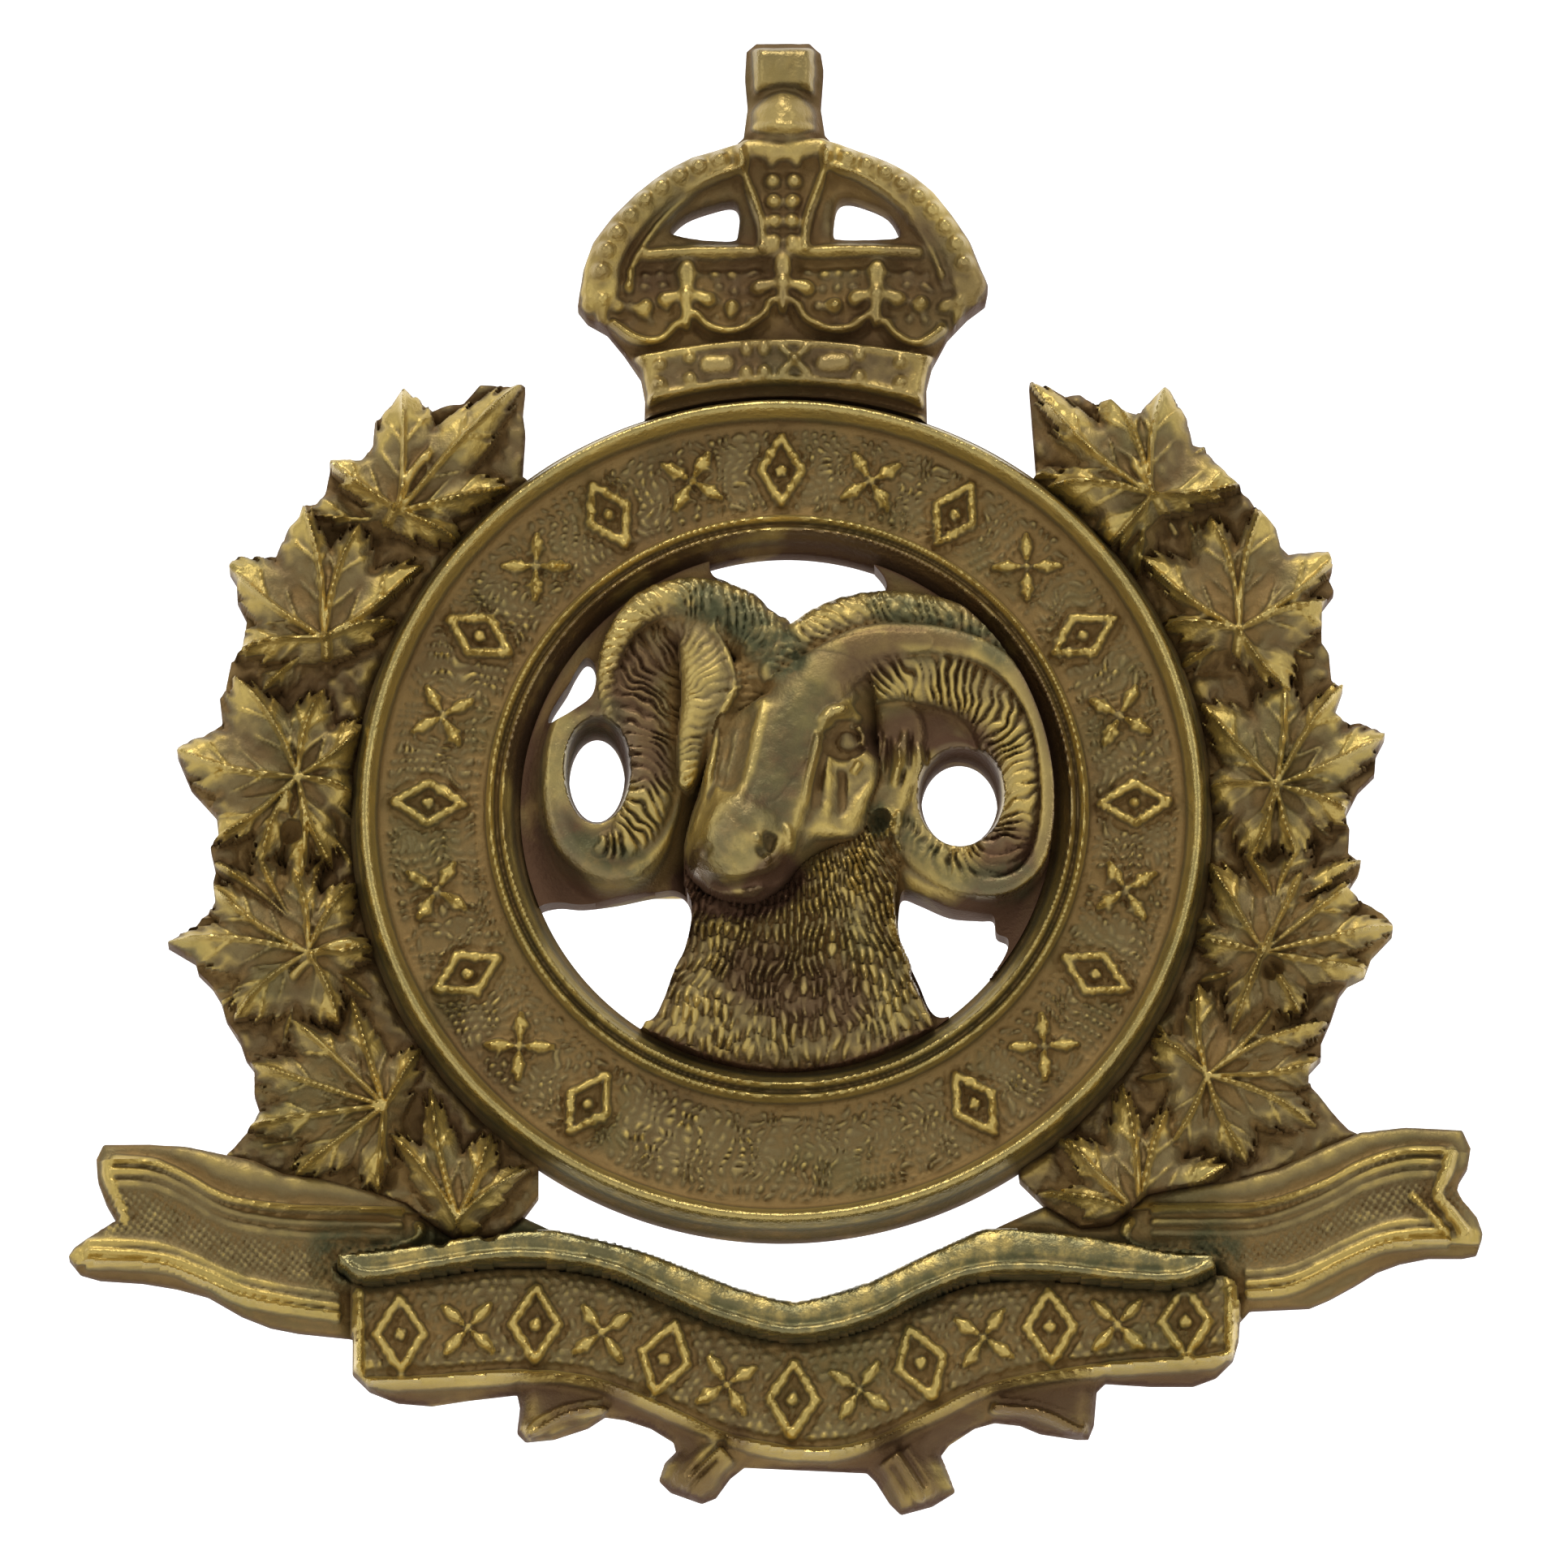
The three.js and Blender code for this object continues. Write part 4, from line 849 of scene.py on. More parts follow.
def make_crown():
    """The crown: arches with pearls over two openings, a coronet rim and a jewelled band."""
    s = Sheet(-7.6, 13.6, 7.7, 28.8, 0.055, height=1.25)
    s.height += 0.05 * noise(s.x, s.y, 0.4, 61)
    body = depth_in(CROWN_EDGE, s.x, s.y)
    # velvet behind the arches, a low dome
    s.height += 0.25 * step_up(s.y, 17.5, 21.0) * step_up(body, 0.2, 1.2)
    lumps = 0.5 + 0.5 * np.sin(2 * np.pi * s.x / 0.62 + 2.0 * noise(s.x, s.y, 0.8, 62))
    lumps *= 0.5 + 0.5 * np.sin(2 * np.pi * s.y / 0.60 + 2.0 * noise(s.x, s.y, 0.8, 63))
    s.height += 0.30 * lumps * step_up(s.y, 17.8, 18.4) * step_up(20.6 - s.y, 0.0, 0.5)
    # flat ledge under the openings
    s.rib([(-4.9, 20.5), (-2.6, 20.65), (0.1, 20.6), (2.8, 20.7), (5.0, 20.6)], 0.34, 0.55)
    s.rib([(-5.2, 20.0), (-2.6, 20.1), (0.1, 20.1), (2.8, 20.2), (5.3, 20.0)], 0.2, -0.25)
    # side arches: a broad band with an inner rib and a row of pearls on it
    for path in (smooth(LEFT_ARCH, 8), smooth(RIGHT_ARCH, 8)):
        tube(s, path, (0.75, 0.72, 0.62, 0.6), (1.95, 2.25, 2.35), power=3.0)
        pearls(s, path[4:-3], 9, 0.36, 0.42)
        s.ridge(path * (0.86, 1.0) + (0.1, -0.45), 0.2, 0.5, (0.1, 0.05))
    # centre arch, widening to the top
    edge = 0.95 + 0.75 * step_up(s.y, 21.2, 24.2) - np.abs(s.x - 0.08)
    inside_arch = (edge > 0) & (s.y > 20.4) & (s.y < 24.35)
    s.height = np.where(inside_arch, np.maximum(s.height, 1.75), s.height)
    rise = step_up(s.y, 20.4, 20.8) * step_up(24.5 - s.y, 0.0, 0.4)
    s.height += 0.55 * crest(0.18 - edge, 0.24) * rise
    for x in (-0.27, 0.38):
        pearls(s, [(x, 20.95), (x, 22.2), (x * 1.3, 23.9)], 5, 0.34, 0.5)
    # orb and the block on it
    s.boss((0.08, 25.45), 1.25, 1.15)
    s.ridge(np.array([(-1.1, 25.15), (0.08, 24.95), (1.25, 25.15)]), 0.2, 0.25)
    tube(s, np.array([(-1.2, 24.35), (0.05, 24.2), (1.4, 24.4)]), (0.42, 0.4, 0.42), (2.3, 2.45, 2.3))
    block = [(-0.98, 26.5), (1.15, 26.5), (1.22, 27.3), (1.15, 28.2), (-1.0, 28.2), (-1.05, 27.3)]
    s.overlay(block, lambda x, y, d: 1.75 + 0.35 * step_up(d, 0, 0.35) + 0.05 * noise(x, y, 0.5, 64))
    # rim of the coronet: lips of the bays, with fleurs and crosses between them
    for bay in BAYS:
        s.rib(bay, 0.27, 0.62, (0.08, 0.08))
        s.ridge(smooth(bay) + (0, -0.33), 0.2, -0.3, (0.05, 0.05))
    for base, top, spread, level in FLEURS:
        fleur(s, base, top, spread, level)
    for x in (-4.9, -1.75, 1.85, 4.9):
        s.boss((x, 18.65 + 0.02 * x), 0.36, 0.5)
    jewelled_band(s)
    s.height = blur(s.height, 0.04 / s.step) + 0.03 * noise(s.x, s.y, 0.3, 66)
    s.brown += 0.42 + 0.2 * noise(s.x, s.y, 1.5, 67)
    s.stain += 0.25 * step_up(noise(s.x, s.y, 1.8, 68), 0.0, 0.5)
    r = centre_radius(s.x, s.y)
    mask = np.minimum(body, r - CIRCLET_RADIUS + 0.04)
    for outline in CROWN_VOIDS:
        mask = np.minimum(mask, -depth_in(smooth(outline, 4, closed=True), s.x, s.y))
    # edges roll over, but not where the crown meets the circlet
    edge = np.minimum(body, mask + 2 * (r < CIRCLET_RADIUS + 0.35))
    s.height -= 0.35 * np.exp(-np.maximum(edge, 0) / 0.14)
    return s, mask


# ---------------------------------------------------------------- scroll
SCROLL_LEFT = [
    (-21.0, -11.8), (-22.3, -11.7), (-23.9, -11.7), (-24.15, -12.2), (-24.1, -12.9),
    (-23.8, -13.7), (-23.4, -14.4), (-24.2, -14.9), (-24.9, -15.4), (-25.1, -15.7),
    (-24.7, -16.2), (-24.0, -16.4), (-22.5, -16.5), (-21.3, -16.7), (-20.2, -17),
    (-19.0, -17.7), (-18.0, -18.1), (-17.0, -18.3), (-15.1, -18.5), (-15.1, -19.8),
    (-14.5, -20.4), (-13.5, -20.8), (-12.3, -20.9), (-11.0, -20.7), (-9.3, -20.5),
    (-9.2, -21), (-9.3, -21.9), (-9.0, -22.2), (-8.0, -22.1), (-6.8, -21.7), (-6.2, -21.3),
    (-5.5, -21.4), (-4.6, -21.7), (-3.8, -22.2), (-3.7, -22.6), (-4.1, -23), (-4.3, -23.6),
    (-3.9, -24), (-2.8, -24.4), (-2.3, -24.2), (-1.8, -23.5), (-1.3, -23.1),
]
SCROLL_RIGHT = [
    (3.0, -23.3), (3.3, -23.6), (3.8, -24.4), (4.2, -24.8), (5.3, -24.5), (6.1, -24),
    (5.8, -23.2), (5.6, -22.7), (5.9, -22.3), (6.8, -21.7), (7.5, -21.5), (8.4, -21.6),
    (9.1, -21.9), (10.4, -22.1), (10.8, -22.1), (11.0, -21.6), (11.1, -20.4), (11.4, -20.1),
    (13.0, -20.2), (14.5, -20.2), (15.3, -19.9), (15.9, -19.3), (16.1, -18.6), (16.15, -17.9),
    (16.5, -17.5), (18.6, -17.4), (19.3, -17.1), (20.2, -16.6), (21.0, -16.1), (21.8, -15.8),
    (22.8, -15.6), (24.0, -15.6), (24.5, -15.5), (24.7, -14.9), (24.5, -14.3), (24.0, -13.7),
    (23.8, -13.3), (23.9, -12.9), (24.2, -12.4), (24.3, -11.8), (24.0, -11.2), (22.0, -11.1),
]
SCROLL_TOP = [
    (6.5, -15.0), (3.0, -16.7), (0.5, -17.4), (-1.5, -16.9), (-4.5, -15.7), (-7.5, -14.9),
]
# the turned-over upper edge of the ribbon, and the line where it drops to the panel
BEVEL_LOW = [
    (-15.6, -16.2), (-14.6, -16.75), (-12.5, -16.45), (-10.2, -16.1), (-8.2, -16.1),
    (-6.0, -16.5), (-4.0, -17.4), (-2.0, -18.25), (0.5, -18.8), (3.0, -18.3), (5.0, -17.3),
    (6.8, -16.65), (9.0, -16.5), (12.0, -16.8), (14.0, -16.85), (15.3, -16.3),
]
BEVEL_HIGH = [
    (15.2, -15.85), (13.6, -15.75), (12.0, -15.35), (10.6, -15.1), (9.2, -14.95), (7.6, -14.8),
    (6.5, -15.0), (3.0, -16.7), (0.5, -17.4), (-1.5, -16.9), (-4.5, -15.7), (-7.5, -14.95),
    (-9.5, -15.0), (-11.2, -15.2), (-12.8, -15.5), (-14.6, -15.75), (-15.6, -15.85),
]
PANEL_LOW = [
    (-15.4, -20.4), (-12.5, -20.3), (-9.0, -20.1), (-6.5, -20.4), (-4.0, -21.4), (-1.8, -22.4),
    (1.0, -22.9), (3.0, -22.6), (5.2, -21.6), (7.0, -20.7), (9.0, -20.2), (12.0, -19.8),
    (14.6, -19.6), (16.4, -19.3),
]
CHARGE_LINE = [
    (-13.4, -18.6), (-11.0, -18.4), (-8.6, -18.25), (-6.2, -18.6), (-3.8, -19.6), (-1.4, -20.6),
    (1.0, -20.95), (3.4, -20.4), (5.8, -19.2), (8.4, -18.45), (11.0, -18.3), (14.2, -18.15),
]
LEFT_TAIL_TOP = [(-23.7, -12.3), (-22.2, -12.4), (-21.0, -12.9), (-20.0, -13.5), (-19.0, -13.85),
                 (-17.0, -14.1), (-14.6, -14.15), (-13.2, -14.2)]
LEFT_TAIL_LOW = [(-24.6, -16.0), (-22.0, -16.15), (-20.5, -16.65), (-19.0, -17.3), (-17.0, -17.7),
                 (-15.4, -17.9)]
RIGHT_TAIL_TOP = [(12.9, -14.05), (15.0, -14.05), (17.0, -13.95), (19.0, -13.25), (20.5, -12.45),
                  (22.0, -12.0), (23.5, -12.0)]
RIGHT_TAIL_LOW = [(16.2, -17.1), (18.0, -16.9), (20.0, -15.95), (21.5, -15.4), (23.6, -15.25)]
CHARGES = 13
# lines of the tails' ends, with their width and height
TAIL_ENDS = [
    ([(23.6, -12.0), (23.45, -12.7), (23.1, -13.6), (23.6, -14.3), (24.1, -15.0)], 0.3, 0.55),
    ([(22.2, -13.6), (22.8, -14.2), (23.3, -14.9)], 0.2, 0.3),
    ([(-23.75, -12.3), (-23.7, -13.0), (-23.3, -13.9), (-23.1, -14.5)], 0.25, 0.25),
]
# the ribbon turned back beside the panel
FOLDS = [
    [(-12.9, -14.3), (-12.75, -15.0), (-13.6, -15.4), (-15.2, -15.7), (-15.75, -16.2),
     (-15.2, -16.65), (-14.0, -16.75)],
    [(12.4, -14.2), (12.1, -15.0), (12.9, -15.5), (14.9, -15.7), (15.35, -16.0)],
]
# each with half its width
STALK_ENDS = [
    ([(-6.0, -21.2), (-7.6, -21.5), (-8.9, -22.2)], 0.5),
    ([(7.2, -21.2), (9.0, -21.4), (10.6, -22.1)], 0.5),
    ([(-2.0, -22.6), (-2.8, -23.4), (-3.4, -24.1)], 0.75),
    ([(3.9, -22.8), (4.5, -23.7), (5.0, -24.5)], 0.8),
]


def weave(x, y):
    """Fine slanting cross-hatching of the ribbon's tails."""
    u = 2 * np.pi * (x + 0.12 * y) / 0.30 + 1.1 * noise(x, y, 0.8, 81)
    v = 2 * np.pi * (y - 0.18 * x) / 0.34 + 1.1 * noise(x, y, 0.8, 82)
    return 0.09 * np.sin(u) * np.sin(v) + 0.05 * noise(x, y, 0.35, 83)


def tails(s):
    """The ribbon's two cross-hatched tails, with lines along their edges and turned ends."""
    for top, low, end in ((LEFT_TAIL_TOP, LEFT_TAIL_LOW, -1), (RIGHT_TAIL_TOP, RIGHT_TAIL_LOW, 1)):
        top, low = smooth(top), smooth(low)
        rim = np.interp(s.x, top[:, 0], top[:, 1])
        between = np.minimum(rim - s.y, s.y - np.interp(s.x, low[:, 0], low[:, 1]))
        outer = s.x * end > 12.2
        above = 1.25 + 0.3 * step_up(s.y - rim, 0.1, 1.2)
        s.height = np.where(outer & (s.y > rim), above, s.height)
        field = 1.0 + weave(s.x, s.y) * step_up(between, 0.95, 1.3)
        field = field + 0.35 * step_up(np.abs(s.x), 15.0, 23.0)
        s.height = np.where(outer & (between > 0), field, s.height)
        for k, size in enumerate((0.42, 0.28, 0.18)):
            s.ridge(top - (0, 0.42 * k), 0.25, size, (0.02, 0.02))
            s.ridge(low + (0, 0.38 * k), 0.24, size, (0.02, 0.02))
    for end, width, height in TAIL_ENDS:
        s.rib(end, width, height)
    for fold in FOLDS:
        s.rib(fold, 0.28, 0.55, (0.08, 0.05))


def panel(s):
    """The panel: a stippled field with ornaments, a border and a sloping flange below."""
    low = smooth(PANEL_LOW)
    outline = [(-15.15, -16.4), (-15.15, -19.9)] + SCROLL_LEFT[18:] + SCROLL_RIGHT[:24]
    outline += [(16.2, -18.0), (16.0, -16.6)] + BEVEL_LOW[::-1]

    def surface(x, y, depth):
        border = np.interp(x, low[:, 0], low[:, 1])
        ring = (y - 0.1 * x) / 0.36 + 0.4 * noise(x, y, 0.8, 84)
        row = np.floor(ring)
        along = 2 * np.pi * (x / 0.42 + 0.5 * (row % 2)) + 3.0 * noise(x, y, 0.6, 85)
        dots = np.sin(np.pi * (ring - row)) ** 0.8 * (0.5 + 0.5 * np.cos(along))
        field = 1.4 + 0.12 * dots * step_up(y - border, 0.3, 0.6)
        flange = 0.9 + 0.25 * step_up(depth, 0, 0.7)
        return np.where(y > border, field, flange)

    s.overlay(outline, surface, shadow=0.3)
    s.ridge(low, 0.3, 0.5)
    s.tarnish_and_shade(low - (0, 0.9), 1.0, 0.8, brown=True)
    s.ridge(low + (0, 0.42), 0.2, -0.15)
    s.ridge(np.array([(-14.85, -16.9), (-14.85, -20.2)]), 0.24, 0.4)
    s.ridge(np.array([(15.75, -16.9), (15.8, -19.2)]), 0.24, 0.4)
    spots, climbs = spaced(smooth(CHARGE_LINE, 20), CHARGES)
    for k, (spot, climb) in enumerate(zip(spots, climbs)):
        if k % 2:
            pellet_cross(s, spot, 45 + 40 * climb, 1.15)
        else:
            lozenge(s, spot, 90 + 40 * climb, 1.3, 0.82)


def stalk_ends(s):
    """Leaf tips and the two stalk ends that show below the ribbon."""
    for line, width in STALK_ENDS:
        line = np.array(line)
        s.rib(line, width, 0.5, (0.1, 0.0))
        s.rib(line, 0.16, 0.16, (0.1, 0.0))
        for side in (-0.45, 0.45):
            s.rib(line + (0.3 * side, side * width), 0.16, -0.22, (0.1, 0.1))
        s.tarnish_and_shade(line, 1.3, 0.75, brown=True)


def turned_edge(s):
    """The ribbon's upper edge, a rounded roll that drops sharply at its lower side."""
    low = smooth(BEVEL_LOW)

    def roll(x, y, _):
        over = y - np.interp(x, low[:, 0], low[:, 1])
        streaks = 0.03 * noise(x, 0.15 * y, 0.3, 88)
        return 1.7 + 0.42 * np.sin(np.pi * np.clip(0.3 + over / 2.8, 0, 1)) + streaks

    s.overlay(np.vstack([low, smooth(BEVEL_HIGH)]), roll, shadow=0.55, reach=0.3)
    s.ridge(low + (0, 0.18), 0.24, 0.20, (0.02, 0.02))
    s.ridge(low + (0, 0.52), 0.2, -0.08, (0.05, 0.05))
    s.tarnish_and_shade(low + (0, 0.8), 1.4, 0.9)


def make_scroll():
    """The ribbon: two tails with turned ends, and a panel under a rolled upper edge."""
    s = Sheet(-25.4, -25.3, 25.0, -10.8, 0.078, height=0.85)
    outline = LEFT_JOIN[:1] + SCROLL_LEFT + SCROLL_RIGHT + RIGHT_JOIN[::-1] + SCROLL_TOP
    mask = depth_in(outline + LEFT_JOIN[:0:-1], s.x, s.y)
    tails(s)
    panel(s)
    stalk_ends(s)
    turned_edge(s)
    for spot in ((-12.0, -15.3), (-10.3, -15.1), (-12.0, -14.1)):
        s.boss(spot, 0.3, -0.6)
    s.height += 0.03 * noise(s.x, s.y, 0.4, 87)
    s.height -= 0.35 * np.exp(-np.maximum(mask, 0) / 0.16)
    return s, mask


# ---------------------------------------------------------------- from relief to mesh
def sample(field, sheet, x, y):
    """The field's value between its samples."""
    u = np.clip((x - sheet.xs[0]) / sheet.step, 0, len(sheet.xs) - 1.001)
    v = np.clip((y - sheet.ys[0]) / sheet.step, 0, len(sheet.ys) - 1.001)
    i, j = u.astype(int), v.astype(int)
    u, v = u - i, v - j
    low = field[j, i] * (1 - u) + field[j, i + 1] * u
    high = field[j + 1, i] * (1 - u) + field[j + 1, i + 1] * u
    return low * (1 - v) + high * v


def kept_cells(mask):
    """The grid cells inside the mask, with no two that touch only at a corner."""
    keep = (mask[:-1, :-1] + mask[1:, :-1] + mask[:-1, 1:] + mask[1:, 1:]) > 0
    keep[0], keep[-1], keep[:, 0], keep[:, -1] = False, False, False, False
    for _ in range(20):
        a, b, c, d = keep[:-1, :-1], keep[:-1, 1:], keep[1:, :-1], keep[1:, 1:]
        rising = a & d & ~b & ~c
        falling = b & c & ~a & ~d
        if not (rising.any() or falling.any()):
            break
        keep[:-1, 1:] |= rising
        keep[:-1, :-1] |= falling
    return keep


def lowest(field, reach):
    """The least value within so many cells to each side."""
    for axis in (0, 1):
        field = np.min([np.roll(field, k, axis) for k in range(-reach, reach + 1)], axis=0)
    return field


def back_faces(keep, block):
    """Faces of the hollow back: single cells near the outline, larger blocks inside it.
    Corners that a smaller neighbour needs stay in the block's outline, so nothing gapes."""
    rows, columns = (keep.shape[0] // block) * block, (keep.shape[1] // block) * block
    whole = keep[:rows, :columns].reshape(rows // block, block, columns // block, block)
    whole = whole.all(axis=(1, 3))
    fine = keep.copy()
    fine[:rows, :columns] &= ~np.repeat(np.repeat(whole, block, 0), block, 1)
    wide = keep.shape[1] + 1
    spot = lambda j, i: j * wide + i
    faces = []
    for j, i in zip(*np.nonzero(fine)):
        faces.append((spot(j, i), spot(j + 1, i), spot(j + 1, i + 1), spot(j, i + 1)))
    padded = np.pad(whole, 1)
    for bj, bi in zip(*np.nonzero(whole)):
        j, i = bj * block, bi * block
        ring = []
        sides = (
            (padded[bj + 1, bi], [(j + k, i) for k in range(block)]),
            (padded[bj + 2, bi + 1], [(j + block, i + k) for k in range(block)]),
            (padded[bj + 1, bi + 2], [(j + block - k, i + block) for k in range(block)]),
            (padded[bj, bi + 1], [(j, i + block - k) for k in range(block)]),
        )
        for neighbour_whole, points in sides:
            for n, (pj, pi) in enumerate(points):
                if n == 0 or not neighbour_whole:
                    ring.append(spot(pj, pi))
        faces.append(tuple(ring))
    return faces


def on_outline(sheet, mask, border):
    """The grid's x and y, with the border's points moved onto the mask's edge."""
    x, y = sheet.x.copy(), sheet.y.copy()
    px, py = x[border], y[border]
    gy, gx = np.gradient(mask, sheet.step)
    limit = 0.9 * sheet.step
    for _ in range(3):
        value = sample(mask, sheet, px, py)
        nx, ny = sample(gx, sheet, px, py), sample(gy, sheet, px, py)
        push = -value / np.maximum(nx**2 + ny**2, 0.2)
        px = np.clip(px + push * nx, x[border] - limit, x[border] + limit)
        py = np.clip(py + push * ny, y[border] - limit, y[border] + limit)
    x[border], y[border] = px, py
    return x, y


def wall_faces(keep, index, index_behind):
    """Faces that join front and back along every open side of the kept cells."""
    wide = keep.shape[1] + 1
    pad = np.pad(keep, 1)
    faces = []
    for dj, di, first, second in ((-1, 0, (0, 0), (0, 1)), (0, 1, (0, 1), (1, 1)),
                                  (1, 0, (1, 1), (1, 0)), (0, -1, (1, 0), (0, 0))):
        open_side = keep & ~pad[1 + dj : pad.shape[0] - 1 + dj, 1 + di : pad.shape[1] - 1 + di]
        jj, ii = np.nonzero(open_side)
        p = (jj + first[0]) * wide + ii + first[1]
        q = (jj + second[0]) * wide + ii + second[1]
        wall = np.column_stack([index[p], index_behind[p], index_behind[q], index[q]])
        faces.extend(map(tuple, wall.tolist()))
    return faces


def plate(name, sheet, mask):
    """A closed plate: the relief in front, a side wall, and a softly hollowed back."""
    keep = kept_cells(mask)
    corners = np.zeros(mask.shape, int)
    for dj in (0, 1):
        for di in (0, 1):
            corners[dj : dj + keep.shape[0], di : di + keep.shape[1]] += keep
    used = corners > 0
    border = used & (corners < 4)
    x, y = on_outline(sheet, mask, border)
    front = np.maximum(sample(sheet.height, sheet, x, y), THINNEST_FRONT)
    form = blur(sheet.height, 0.45 / sheet.step)
    hollow = np.maximum(form - SHEET_THICKNESS, 0) * step_up(mask, 0.15, 0.95)
    back = np.minimum(sample(hollow, sheet, x, y), lowest(front, BACK_BLOCK) - THINNEST_WALL)
    back[border] = 0
    # points: every used grid point in front, and behind only those that its faces need
    faces_behind = back_faces(keep, BACK_BLOCK)
    flat = np.flatnonzero(used.ravel())
    flat_behind = np.unique(np.concatenate(faces_behind))
    count = len(flat)
    index, index_behind = np.full(mask.size, -1), np.full(mask.size, -1)
    index[flat] = np.arange(count)
    index_behind[flat_behind] = count + np.arange(len(flat_behind))
    place = np.concatenate([flat, flat_behind])
    xs, ys = x.ravel()[place], y.ravel()[place]
    depth = np.concatenate([front.ravel()[flat], back.ravel()[flat_behind]])
    jj, ii = np.nonzero(keep)
    wide = keep.shape[1] + 1
    a = jj * wide + ii
    faces = index[np.column_stack([a, a + 1, a + wide + 1, a + wide])].tolist()
    faces += [index_behind[list(face)].tolist() for face in faces_behind]
    faces += wall_faces(keep, index, index_behind)
    mesh = bpy.data.meshes.new(name)
    mesh.from_pydata((np.column_stack([xs, -depth, ys]) * MM).tolist(), [], faces)
    # what the brass material needs to know at each point
    fine = sheet.height - blur(sheet.height, 0.22 / sheet.step)
    broad = sheet.height - blur(sheet.height, 0.75 / sheet.step)
    edge = border.ravel()[place]
    for label, field, behind, on_edge in (
        ("hollow", 3.0 * fine + 1.1 * broad, -0.15, (0, 0)),
        ("relief", sheet.height, 0.0, (0, 0)),
        ("stain", sheet.stain, 0.0, (0, 0)),
        # brown on the back and along the front's edge, and so up the side walls: painted shade on the
        # walls
        ("brown", sheet.brown, 0.6, (0.45, 0.4)),
    ):
        value = sample(field, sheet, xs, ys)
        value[count:] = behind
        value[:count] += on_edge[0] * edge[:count]
        value[count:] += on_edge[1] * edge[count:]
        layer = mesh.attributes.new(label, "FLOAT", "POINT")
        layer.data.foreach_set("value", value.astype(np.float32))
    mesh.polygons.foreach_set("use_smooth", np.ones(len(mesh.polygons), bool))
    mesh.set_sharp_from_angle(angle=math.radians(60))
    mesh.validate()
    piece = bpy.data.objects.new(name, mesh)
    bpy.context.scene.collection.objects.link(piece)
    return piece


# ---------------------------------------------------------------- materials
def nodes_of(name):
    """A new material, its node tree and its main shader."""
    material = bpy.data.materials.new(name)
    material.use_nodes = True
    tree = material.node_tree
    return material, tree, tree.nodes["Principled BSDF"]


def attribute(tree, label):
    """A value that is stored on the mesh's points."""
    node = tree.nodes.new("ShaderNodeAttribute")
    node.attribute_name = label
    return node.outputs["Fac"]


def math_node(tree, operation, a, b=0.0, c=0.0):
    """One sum on sockets or plain numbers."""
    node = tree.nodes.new("ShaderNodeMath")
    node.operation = operation
    for k, source in enumerate((a, b, c)):
        if isinstance(source, (int, float)):
            node.inputs[k].default_value = source
        else:
            tree.links.new(source, node.inputs[k])
    return node.outputs[0]


def ramp(tree, source, stops):
    """Colours placed along a value from 0 to 1."""
    node = tree.nodes.new("ShaderNodeValToRGB")
    tree.links.new(source, node.inputs[0])
    line = node.color_ramp
    while len(line.elements) < len(stops):
        line.elements.new(0.5)
    for element, (place, colour) in zip(line.elements, stops):
        element.position = place
        element.color = (*colour, 1)
    return node.outputs[0]


def blend_colour(tree, share, under, over):
    """Lays one plain colour over what is there, by a share from 0 to 1."""
    node = tree.nodes.new("ShaderNodeMix")
    node.data_type = "RGBA"
    tree.links.new(share, node.inputs[0])
    first, second = [socket for socket in node.inputs if socket.type == "RGBA"]
    tree.links.new(under, first)
    second.default_value = (*over, 1)
    return [socket for socket in node.outputs if socket.type == "RGBA"][0]


def clouds(tree, scale, detail=3.0, roughness=0.6, offset=0.0):
    """Noise in the object's own millimetres."""
    place = tree.nodes.new("ShaderNodeTexCoord")
    shift = tree.nodes.new("ShaderNodeMapping")
    shift.inputs["Location"].default_value = (offset, offset * 0.7, -offset)
    tree.links.new(place.outputs["Object"], shift.inputs["Vector"])
    node = tree.nodes.new("ShaderNodeTexNoise")
    node.inputs["Scale"].default_value = scale / MM
    node.inputs["Detail"].default_value = detail
    node.inputs["Roughness"].default_value = roughness
    tree.links.new(shift.outputs[0], node.inputs["Vector"])
    return node.outputs[0]


def band(tree, source, low, high):
    """0 below low, 1 above high."""
    node = tree.nodes.new("ShaderNodeMapRange")
    node.interpolation_type = "SMOOTHSTEP"
    tree.links.new(source, node.inputs[0])
    node.inputs[1].default_value = low
    node.inputs[2].default_value = high
    return node.outputs[0]


def grain(tree, shader, scale, strength, depth):
    """A fine bumpy grain, its depth in millimetres."""
    bump = tree.nodes.new("ShaderNodeBump")
    bump.inputs["Strength"].default_value = strength
    bump.inputs["Distance"].default_value = depth * MM
    tree.links.new(clouds(tree, scale, 3.0, 0.6, 5.0), bump.inputs["Height"])
    tree.links.new(bump.outputs[0], shader.inputs["Normal"])


# struck brass from its deepest hollows to its rubbed crests: the hollows are painted lighter than the
# flats as painted fill light, and the crests brighter, as rubbed brass and as a painted highlight
BRASS_TONES = [
    (0.06, (0.310, 0.202, 0.074)), (0.30, (0.220, 0.152, 0.060)), (0.52, (0.228, 0.170, 0.074)),
    (0.74, (0.330, 0.245, 0.092)), (0.98, (0.560, 0.410, 0.120)),
]
DEEP_BROWN = (0.085, 0.040, 0.020)
OLIVE = (0.120, 0.135, 0.050)
PATINA_AND_SHADE_BROWN = (0.125, 0.066, 0.036)
GREEN_STAIN = (0.085, 0.088, 0.042)
RUBBED_AND_HIGHLIGHT_PALE = (0.50, 0.41, 0.21)


